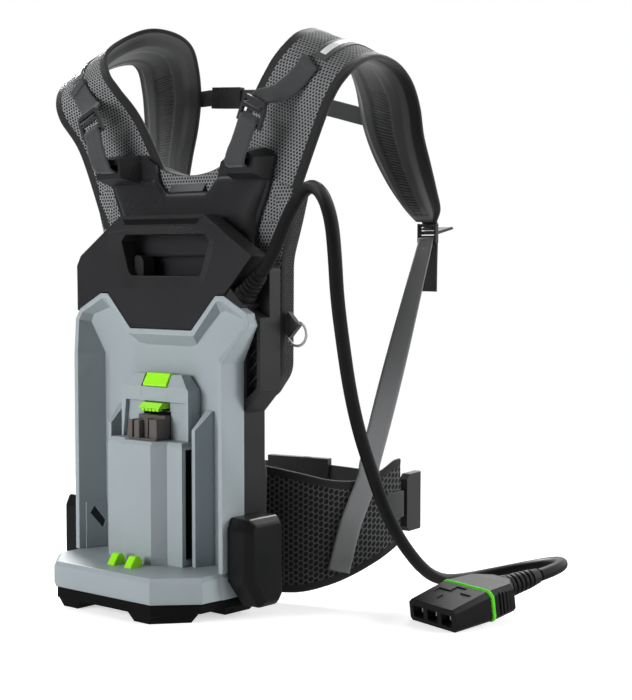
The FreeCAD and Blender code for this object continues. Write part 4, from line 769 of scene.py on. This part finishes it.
def power_cable():
    """The cable on its route, with its gland on the housing and its boot on the plug."""
    curve = bpy.data.curves.new("power_cable_sheath", "CURVE")
    curve.dimensions = "3D"
    curve.bevel_depth = CABLE_DIAMETER / 2
    curve.bevel_resolution = 7
    curve.resolution_u = 10
    curve.use_fill_caps = True
    spline = curve.splines.new("NURBS")
    spline.points.add(len(CABLE_ROUTE) - 1)
    spline.points.foreach_set("co", np.array([point + (1.0,) for point in CABLE_ROUTE]).ravel())
    spline.order_u = 3
    spline.use_endpoint_u = True
    curve.materials.append(SHEATH)
    cable = bpy.data.objects.new("power_cable_sheath", curve)
    bpy.context.scene.collection.objects.link(cable)
    dress(cable, "cable_black", "power_cable")
    tip = np.array(CABLE_ROUTE[0])
    axis = unit(np.array(CABLE_ROUTE[1]) - tip)
    gland = turned("cable_gland_ringed", tip - axis * 34 * MM, axis, [
        rounded_rim(12.5), [(6.4, 12.5), (7, 11.9), (7.2, 10.5), (9, 10.6)], ringed(9.2, 30, 11.2, 9, 4, 1.7),
        [(30.4, 8.5), (33.4, 8.2), (34, 7.4), (34, 7.02)]], SHEATH)
    dress(gland, "cable_black", "cable_gland")
    # the plug's own frame: X across, Y along it towards its boot
    side, along = (0.966, -0.259, 0), (0.256, 0.957, 0.139)
    plug = frame_at((303, 87, 0), side, np.cross(side, along))
    boot = turned("plug_boot_ringed", placed(plug, (0, 100, 15)), plug[1][1], [
        rounded_rim(13.5), [(3.6, 13.5), (4, 13), (4.2, 11.4), (6, 11.6)], ringed(6.2, 40, 12.7, 10, 5, 2),
        [(40.4, 9.7), (51, 8.3), (52, 7.6), (52, 7.02)]], SHEATH)
    dress(boot, "cable_black", "plug_boot")
    plug_ring(plug)


def plug_ring(plug):
    """Green band round the plug with fine ribs along it: the outline swells by the ribs' half wave."""
    outline = smooth_outline(both_sides([(37, -2), (41, 2.5), (41, 26.5), (34.5, 32)]), 6, 640)
    run = lengths_along(outline)
    ribs = np.abs(np.sin(math.pi * run / 2.2)) * 0.9
    grid = []
    for y, amount, share in ((48.5, 1.6, 0), (48.7, 0.9, 0.4), (49.4, 0.7, 1), (52.6, 0.7, 1), (53.3, 0.9, 0.4),
                             (53.5, 1.6, 0)):
        ring = inset(outline, amount - ribs[:, None] * share)
        grid.append(placed(plug, np.stack([ring[:, 0], np.full(len(ring), y), ring[:, 1]], 1)))
    return dress(grid_piece("plug_ring_ribbed", np.array(grid), [RING_GREEN]), "green_ring", "plug_ring")


def steel_ring():
    """D-ring of round wire: the tube follows a straight bar, two bends and a half circle."""
    half, bend, arm, wire = 13.0, 3.0, 6.0, 1.5
    corner = np.linspace(math.pi, math.pi / 2, 6)
    bow = np.linspace(math.pi / 2, -math.pi / 2, 33)
    first = np.stack([bend + bend * np.cos(corner), half - bend + bend * np.sin(corner)], 1)
    path = np.concatenate([first, np.stack([arm + half * np.cos(bow), half * np.sin(bow)], 1), first[::-1] * (1, -1)])
    ahead = unit(np.roll(path, -1, 0) - np.roll(path, 1, 0))
    angle = np.linspace(0, 2 * math.pi, 14, endpoint=False)
    x = path[:, :1] + ahead[:, 1:] * wire * np.cos(angle)
    z = path[:, 1:] - ahead[:, :1] * wire * np.cos(angle)
    tube = np.stack([x, wire * np.sin(angle) + 0 * x, z], -1)
    grid = placed(frame_at((149, 42, 309), (1, 0, -1), (1, 0, 1)), tube)
    dress(grid_piece("tie_ring_wire", grid, [STEEL], hollow=True), "steel", "d_ring", body="d_ring")


# Moulded shells of the dock and the handle cover, in millimetres

PLANES = {"XY": [0, 1, 2], "XZ": [0, 2, 1], "YZ": [2, 0, 1]}


def stacked(plane, rings, hollow=False):
    """A solid through rings of equally many corners: each ring is an outline in the plane and its level, one
    number or one for each corner. The ends are closed, or joined to each other where it is hollow."""
    grid = np.array([np.column_stack([outline, np.broadcast_to(level, len(outline))])[:, PLANES[plane]]
                     for outline, level in rings], float)
    return grid.reshape(-1, 3), ring_faces(*grid.shape[:2], hollow)


def prism(plane, outline, low, high):
    """A straight prism: the outline at two levels."""
    return stacked(plane, [(outline, low), (outline, high)])


def block(x, y, z):
    """A box from three pairs of limits."""
    return prism("XY", [(x[0], y[0]), (x[1], y[0]), (x[1], y[1]), (x[0], y[1])], z[0], z[1])


def shell_piece(name, parts, materials, radius, slot, *nodes, body="root"):
    """Closed parts as one moulded piece whose edges are rounded by the radius; a part may end with the index of
    its material."""
    starts = np.cumsum([0] + [len(part[0]) for part in parts])
    faces = [[start + corner for corner in face] for start, part in zip(starts.tolist(), parts) for face in part[1]]
    index = np.repeat([part[2] if len(part) > 2 else 0 for part in parts], [len(part[1]) for part in parts])
    piece = mesh_piece(name, np.concatenate([part[0] for part in parts]) * MM, faces, materials, index)
    shape = bmesh.new()
    shape.from_mesh(piece.data)
    bmesh.ops.recalc_face_normals(shape, faces=shape.faces)
    shape.to_mesh(piece.data)
    shape.free()
    rounded_edges(piece, radius)
    return dress(piece, slot, *nodes, body=body)


def rounded_edges(piece, radius):
    """Rounds every edge that turns by more than 18 degrees, and keeps the flats flat."""
    edge = piece.modifiers.new("edge", "BEVEL")
    edge.width = radius * MM
    edge.segments = 3
    edge.limit_method = "ANGLE"
    edge.angle_limit = math.radians(18)
    edge.harden_normals = True


# Planes and levels that the pieces of the dock share.
SHELF_TOP = 50
RIM_FRONT = -38
RECESS = -5
DEEP = 0.4
TOWER_BACK = -19
TOWER_FRONT = -24
BLOCK_TOP = 185.5
RAIL_TOP = 219.5


def tray_shell():
    """Corners and faces of the tray: a rim round a recess whose ears are cut blunt. Each corner is listed for the
    right side; its mirror image stands the number of listed corners further on."""
    right = np.array([
        (117, RIM_FRONT, SHELF_TOP), (117, RIM_FRONT, 275), (137.3, -17.5, 315.5), (132.5, -14.8, 327.5),
        (97, -14.5, 346), (85, -14.5, 345.5), (48.5, -14.5, 307),
        (111, RIM_FRONT, SHELF_TOP), (111, RIM_FRONT, 278.5), (130.8, -18, 314.8), (127.2, -16.3, 323.2),
        (94.2, -15.5, 340.2), (87.4, -15.5, 339.7), (52, -14.5, 301),
        (100, RECESS, SHELF_TOP), (100, RECESS, 277), (123.5, RECESS, 312), (119.5, RECESS, 321),
        (92, RECESS, 329.5), (84, RECESS, 327), (57, RECESS, 301.4),
        (46, -2.4, 291), (34, DEEP, 288.5), (57, RECESS, SHELF_TOP), (34, DEEP, SHELF_TOP),
        (117, -3, SHELF_TOP), (117, -3, 275), (137.3, -3, 315.5), (132.5, -3, 327.5), (97, -3, 346), (85, -3, 345.5),
        (48.5, -3, 307), (34, 3, SHELF_TOP), (34, 3, 290), (57, -3, SHELF_TOP), (57, -3, 303)])
    n = len(right)
    sides = [(i, i + 1, i + 8, i + 7) for i in (*range(6), *range(7, 12))]
    sides += [(12, 13, 21, 20, 19), (14, 15, 16, 17, 18, 19, 20, 23), (23, 20, 21, 22, 24)]
    sides += [(i, i + 25, i + 26, i + 1) for i in range(6)]
    sides += [(25, 26, 27, 28, 29, 30, 31, 35, 34), (34, 35, 33, 32), (0, 7, 14, 23, 24, 32, 34, 25), (31, 33, 35)]
    across = [(6, 13, 13 + n, 6 + n), (13, 21, 22, 22 + n, 21 + n, 13 + n)]
    across += [(a, b, b + n, a + n) for a, b in ((24, 22), (6, 31), (31, 33), (32, 33), (24, 32))]
    mirrored = [[corner + n for corner in face][::-1] for face in sides]
    return np.concatenate([right, right * (-1, 1, 1)]), sides + mirrored + across


def dock_tray():
    """Grey tray: rim and recess, shelf with a bevelled top edge, and the small guarded window in its left wall."""
    wall = [(115, -40), (117, -36), (117, -3)]
    low = both_sides([(75, -104.5), (113.5, -66)] + wall)
    wide = both_sides([(76, -106), (115, -67)] + wall)
    top = both_sides([(74.4, -102), (110.6, -65), (111, -40), (113, -36), (117, -3)])
    shelf = stacked("XY", [(low, 22), (wide, 28), (wide, 45.5), (top, SHELF_TOP)])
    around = np.array([(-30, SHELF_TOP), (-5.5, SHELF_TOP), (-5.5, 104), (-30, 104)], float)
    window = np.array([(-25, 91), (-10, 72), (-7, 81), (-20, 99)], float)
    # the wall slants inwards by 1 mm in 3
    wall, hole = [-111 + (outline[:, 0] + 38) / 3 for outline in (around, window)]
    guard = stacked("YZ", [(around, wall - 1), (around, wall + 1.1), (window, hole + 1.1), (window, hole - 1)], True)
    # the window is filled with a near-black sheet: painted shade for the depth behind it
    dark = stacked("YZ", [(window, hole - 1), (window, hole + 0.3)]) + (1,)
    shell_piece("dock_tray_shell", [tray_shell(), shelf, guard, dark], [SHELL, SLOT_SHADE], 2.0, "grey_shell",
                "dock_tray")


def dock_tower():
    """Guide tower: head with its button shaft and latch window, lower block with stepped flanks, and side rails."""
    def rings(edges):
        """Rings of one half of the tower: inner and outer x, front and level of each."""
        return [([(sign * near, front), (sign * far, front), (sign * far, RECESS), (sign * near, RECESS)], level)
                for near, far, front, level in edges]

    shaft = (-20.8, 20.8)
    parts = [block((-53, 53), (TOWER_BACK, RECESS), (SHELF_TOP, 217))]
    for sign in (1, -1):
        parts.append(stacked("XY", rings([(19.8, 53, TOWER_BACK, 217), (19.8, 53, TOWER_BACK, 227.5)])))
        parts.append(stacked("XY", rings([(20.8, 53, TOWER_FRONT, 227.5), (20.8, 53, TOWER_FRONT, 241.5),
                                          (20.8, 50.3, TOWER_FRONT, 244), (20.8, 36.2, -17.2, 257.5)])))
        parts.append(prism("XZ", [(sign * 53, 180), (sign * 51, 180), (sign * 45.5, 227.5), (sign * 53, 227.5)],
                           TOWER_FRONT, TOWER_BACK))
        rail = [(sign * 64, -8), (sign * 64, -30), (sign * 69, -30), (sign * 74, -8)]
        foot = [(sign * 63.6, -8), (sign * 63.6, RECESS), (sign * 74, RECESS), (sign * 74, -8)]
        slope = [RAIL_TOP + 1.05 * min(y + 11, 0) for _, y in rail]
        parts.append(stacked("XY", [(rail, SHELF_TOP), (rail, slope)]))
        parts.append(prism("XY", foot, SHELF_TOP, RAIL_TOP))
        parts.append(block(sorted([sign * 49, sign * 63.8]), (-8, RECESS), (SHELF_TOP, BLOCK_TOP + 14)))
    parts += [block(shaft, (TOWER_FRONT, RECESS), (227.5, 243.4)), block(shaft, (-6.6, RECESS), (243.4, 257.5)),
              block((-33, 33), (RECESS, 0.2), (SHELF_TOP, 241))]
    nose = [(59, -40), (36, -40), (23.5, -53)]
    flank = both_sides([(59, -8)] + nose)
    inner = both_sides([(55, -8), (55, -36.5), (34.5, -36.5), (21.8, -49)])
    parts += [stacked("XY", [(flank, 178), (flank, BLOCK_TOP - 4.5), (inner, BLOCK_TOP)]),
              prism("XY", flank, SHELF_TOP, 57),
              prism("XY", both_sides([(52, -8), (52, -34.5), (59, -34.5)] + nose), 57, 178)]
    # near-black sheets in the gaps, the button shaft and the latch window: painted shade for their depth
    dark = [block((-21.5, 21.5), (TOWER_BACK - 0.4, TOWER_BACK), (BLOCK_TOP, 216.5)),
            block((-19.8, 19.8), (-7.4, RECESS), (217, 227.5)), block(shaft, (-7.4, -6.6), (243.4, 257))]
    for sign in (1, -1):
        dark += [block(sorted([sign * 51, sign * 52.6]), (-34.4, -9), (57, 178)),
                 block(sorted([sign * 59.5, sign * 63.4]), (-8.5, -7.7), (57, 178))]
    shell_piece("dock_tower_shell", parts + [part + (1,) for part in dark], [SHELL, SLOT_SHADE], 0.8, "grey_shell",
                "dock_tower")


def terminal_ribs():
    """Terminal block: a back plate with a shelf, and upright ribs of stepped depth between its slots."""
    parts = [block((-21, 21), (-28, -19.4), (BLOCK_TOP, 212.5)), block((-21.5, 21), (-43, -28), (BLOCK_TOP, 188))]
    parts += [block((left, right), (front, -28), (188, high)) for left, right, front, high in (
        (-21.5, -14.5, -44, 207.5), (-10.5, -2.5, -45, 207.5), (-2.5, 4, -38, 209), (9, 21, -41, 209))]
    shell_piece("terminal_ribs", parts, [BLOCK], 0.6, "black_frame", "terminal_block")


def lime_parts():
    """Release button with its sloped face over a lip, and the latch hook with its teeth."""
    face = [(-7.6, 238), (-18, 238), (-18, 244), (-24.6, 244), (-25.4, 246), (-18.2, 258.6), (-7.6, 258.6)]
    shell_piece("release_button_face", [prism("YZ", face, -17, 20)], [LIME], 0.7, "lime_parts", "release_button",
                body="release_button")
    hook = [(-13, 219.5), (-31.5, 219.5), (-33, 220.5), (-27, 226), (-13, 226)]
    teeth = [block((x, x + 4.4), (-31, -24.6), (216.6, 220)) for x in (-13.4, -7.8, -2.2, 3.4, 9)]
    shell_piece("latch_hook_teeth", [prism("YZ", hook, -16.2, 16.2)] + teeth, [LIME], 0.5, "lime_parts", "latch_hook",
                body="latch_hook")


def coil_springs():
    """Each hidden spring, under the plunger that rests on it, gets its own copy of its mesh; the joint, axis, anchor
    and share of free length listed with it are not used."""
    well = (0, 0, 16)
    for name, joint, axis, anchor, keep in (
            ("button_spring", "button_press", (0, 0, 1), (0, -13, 230), 0.33),
            ("latch_spring", "latch_retract", (0, 1, 0), (0, -2, 222.3), 0.58),
            ("eject_spring_left", "eject_left", (0, 0, 1), well, 0.55),
            ("eject_spring_right", "eject_right", (0, 0, 1), well, 0.55)):
        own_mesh(NODES[name])


def handle_cover():
    """Black cover: its outline runs down to the tray's ears, and a wide bevel slants in to the hand opening."""
    front = -13
    low = [(48.6, 308), (84.8, 346.7), (96.8, 347.2)]
    high = [(70, 431), (65, 434)]
    left = low + [(139.5, 324.8), (139.5, 377), (133, 388.5)] + high
    right = low + [(108, 358.5), (116, 367), (137.5, 389)] + high
    outline = np.concatenate([right, np.array(left[::-1]) * (-1, 1)])
    bezel = both_sides([(30, 353.2), (60, 353.2), (67.5, 361), (74, 376), (78, 386), (84, 405), (86, 415), (30, 420.5)])
    hole = both_sides([(28, 366.4), (52, 366.4), (57, 370.2), (60.5, 380), (63, 388), (69, 405.5), (63, 412.6),
                       (28, 412.6)])
    rings = [(outline, front), (bezel, front), (hole, front + 5.5), (hole, 12), (outline, 12)]
    # the groove is lined with near-black: painted shade in it
    groove = prism("XZ", both_sides([(57, 423.6), (61, 430.2)]), front - 0.5, front + 1)
    post = prism("XZ", [(-58, 366), (-43, 366), (-43, 383), (-46, 388), (-52, 390), (-58, 388)], 2, 20)
    shell_piece("handle_cover_moulded", [stacked("XZ", rings, True), groove + (1,), post + (2,)],
                [COVER, SLOT_SHADE, HOUSING], 1.6, "black_housing", "front_cover")


def corner_guards():
    """Corner bumpers: a faceted side face in the YZ plane that steps in through a wide chamfer."""
    outline = [(-31, 98), (-25, 110), (22, 110), (28, 103), (28, 22), (20, 12), (-8, 12), (-31, 42)]
    face = [(-24, 95), (-20, 103), (18, 103), (21, 99), (21, 26), (16, 19), (-5, 19), (-24, 45)]
    for name, sign, _ in SIDES:
        parts = [stacked("YZ", [(outline, sign * 117), (outline, sign * 142), (face, sign * 150)])]
        shell_piece(f"corner_guard_{name}_moulded", parts, [BUMPER], 2.2, "bumper", f"corner_guard_{name}")


def neckline_strip():
    """Slanted lip on the top edge of the harness plate, under the mesh of the neckline."""
    profile = [(28.6, 461), (34.6, 470), (34.6, 461)]
    shell_piece("neckline_strip", [prism("YZ", profile, -30, 25)], [YOKE], 0.8, "black_frame")


def yoke_bulge():
    """Swelling front of the harness plate: at height share v and place x the front stands off the plate by
    9 mm times the square root of 1 - v to the 3rd power, and falls to the plate over its side edges; its top
    edge dips from 477 mm to 460 mm in the neckline by a smooth step."""
    across = np.linspace(-1, 1, 81)[None, :]
    v = np.sin(np.linspace(0, math.pi / 2, 25))[:, None]
    x = across * (103 + 19 * smooth_step(0.45, 1.0, v))
    z = 388 + v * (72 + 17 * smooth_step(30, 52, np.abs(x)))
    swell = 9 * np.sqrt(np.clip(1 - v ** 3, 0, 1)) * np.sqrt(np.clip(1 - np.abs(across) ** 10, 0, 1))
    front = np.stack([x, 29.6 - swell, z], -1)
    back = np.stack([x, 31 + 0 * z, z], -1)
    grid = np.concatenate([front, back[::-1]]) * MM
    dress(grid_piece("yoke_bulge", grid.transpose(1, 0, 2), [YOKE]), "black_frame")


# Finish of the carried-over solids: material, moulded edge radius in millimetres, and nodes.
FINISHES = (
    (HOUSING, 1.6, "rear_housing"),
    (HOUSING, 0.4, "vent_grille_left vent_grille_right"),
    (YOKE, 1.4, "harness_yoke"),
    (BASE, 2.0, "base_plate"),
    (LIME, 1.4, "eject_pad_left eject_pad_right"),
    (PLUG, 1.4, "plug_front_shell"),
    (PLUG, 1.2, "plug_rear_shell"),
    (BUCKLE, 1.2, "belt_buckle_female belt_buckle_male"),
    (BUCKLE, 0.9, "sternum_buckle_female sternum_buckle_male"),
    (BUCKLE, 0.8, "belt_adjuster_left belt_adjuster_right"),
    (BUCKLE, 0.7, "lifter_lock_left lifter_lock_right"),
    (BUCKLE, 0.6, "strap_lock_left strap_lock_right"),
    (WEBBING, 0.6, "d_ring_tab"),
    (LAMINATE, 0, "circuit_board"),
    (BRASS, 0, "contact_blades plug_contacts"),
    (STEEL, 0, "base_screws button_spring latch_spring eject_spring_left eject_spring_right"),
)


def finish_solids():
    """Each carried-over solid gets its material, and its edges the moulded radius of the real piece."""
    for material, radius, names in FINISHES:
        for solid in (NODES[name] for name in names.split()):
            solid.data.materials.clear()
            solid.data.materials.append(material)
            if radius:
                weld = solid.modifiers.new("weld", "WELD")
                weld.merge_threshold = 0.01 * MM
                flat = solid.modifiers.new("flat", "DECIMATE")
                flat.decimate_type = "DISSOLVE"
                flat.angle_limit = math.radians(1)
                rounded_edges(solid, radius)


# Stage

WHITE = linear("#FFFFFF")

# Soft lights: name, place, target, watts, size in metres, and whether glossy surfaces mirror it.
LAMPS = (
    ("key", (-0.85, -2.25, 0.72), (0.0, 0.0, 0.32), 60, 1.1, False),
    ("top_left", (-1.25, -0.5, 1.75), (0.0, 0.0, 0.4), 2.5, 0.6, True),
    ("rim_left", (-1.5, 0.9, 1.1), (-0.15, 0.1, 0.55), 26, 0.5, True),
    ("back", (-0.5, 1.7, 1.6), (0.0, 0.1, 0.4), 14, 0.9, True),
    ("rim_right", (1.7, 0.9, 0.6), (0.2, 0.15, 0.2), 26, 0.6, False),
    ("side_right", (2.0, 0.3, 0.4), (0.2, 0.0, 0.2), 8, 0.6, False),
    ("strap_left", (-0.85, -0.1, 0.95), (-0.15, 0.05, 0.6), 2.0, 0.25, False),
)


def mixed(tree, factor, first, second):
    """Two shaders mixed by a factor."""
    return add(tree, "ShaderNodeMixShader", {0: factor, 1: first, 2: second}).outputs[0]


def studio_world():
    """A faint even room for the light, dark in front and white behind for reflections, and white for the camera."""
    world = bpy.data.worlds.new("studio")
    bpy.context.scene.world = world
    world.use_nodes = True
    tree = world.node_tree
    room = tree.nodes["Background"]
    room.inputs["Color"].default_value = WHITE
    room.inputs["Strength"].default_value = 0.15
    direction = add(tree, "ShaderNodeTexCoord").outputs["Generated"]
    behind = vector_node(tree, "DOT_PRODUCT", direction, (-0.05, 0.95, 0.3)).outputs["Value"]
    backdrop = map_range(tree, behind, -0.1, 0.45, 0.1, 1.0)
    reflected, seen = [add(tree, "ShaderNodeBackground", {"Color": WHITE, "Strength": strength}).outputs[0]
                       for strength in (backdrop, 1.0)]
    path = add(tree, "ShaderNodeLightPath").outputs
    glossy = mixed(tree, path["Is Glossy Ray"], room.outputs[0], reflected)
    tree.links.new(mixed(tree, path["Is Camera Ray"], glossy, seen), tree.nodes["World Output"].inputs["Surface"])


def floor_material():
    """White studio sweep lit from beneath: it keeps the object's shadow, fades to plain white further out, and
    is dim in reflections so that black pieces stay black."""
    material, tree, surface = new_material("studio_floor", 0.6)
    surface.inputs["Base Color"].default_value = linear("#F4F4F4")
    surface.inputs["Specular IOR Level"].default_value = 0.2
    away = vector_node(tree, "LENGTH", object_place(tree)).outputs["Value"]
    fade = map_range(tree, away, 0.35, 1.1, 0.0, 1.0)
    path = add(tree, "ShaderNodeLightPath").outputs
    shown = math_node(tree, "MULTIPLY", path["Is Camera Ray"], 0.55)
    under, white, dim = [add(tree, "ShaderNodeEmission", {"Color": WHITE, "Strength": strength}).outputs[0]
                         for strength in (shown, 1.0, 0.15)]
    lit = add(tree, "ShaderNodeAddShader", {0: surface.outputs[0], 1: under}).outputs[0]
    seen = mixed(tree, math_node(tree, "MULTIPLY", fade, path["Is Camera Ray"]), lit, white)
    mirrored = math_node(tree, "MULTIPLY", path["Is Glossy Ray"], 0.85)
    tree.links.new(mixed(tree, mirrored, seen, dim), tree.nodes["Material Output"].inputs["Surface"])
    return material


def stage():
    """Pale floor, soft studio light and the camera."""
    size = 6.0
    corners = [(-size, -size, 0), (size, -size, 0), (size, size, 0), (-size, size, 0)]
    mesh_piece("floor", corners, [(0, 1, 2, 3)], [floor_material()], smooth=False)
    studio_world()
    collection = bpy.context.scene.collection
    for name, place, target, power, width, mirrored in LAMPS:
        light = bpy.data.lights.new(name, "AREA")
        light.energy = power
        light.size = width
        lamp = bpy.data.objects.new(name, light)
        collection.objects.link(lamp)
        lamp.location = place
        aim = unit(np.array(place) - np.array(target))
        lamp.rotation_euler = (math.acos(aim[2]), 0, math.atan2(aim[0], -aim[1]))
        lamp.visible_glossy = mirrored
    camera = bpy.data.objects.new("camera", bpy.data.cameras.new("camera"))
    collection.objects.link(camera)
    camera.location = CAMERA_PLACE
    camera.rotation_euler = (math.radians(90 - CAMERA_DOWN), 0, math.radians(CAMERA_TURN))
    camera.data.lens = CAMERA_LENS
    camera.data.sensor_width = 36
    bpy.context.scene.camera = camera
    bpy.context.scene.view_settings.view_transform = "Standard"


finish_solids()
coil_springs()
dock_tray()
dock_tower()
terminal_ribs()
lime_parts()
handle_cover()
corner_guards()
neckline_strip()
yoke_bulge()
power_cable()
shoulder_straps()
reflective_tapes()
load_lifters()
pull_webbing()
sternum_strap()
hip_belt()
belt_webbing()
back_pads()
steel_ring()
stage()

bpy.context.view_layer.update()
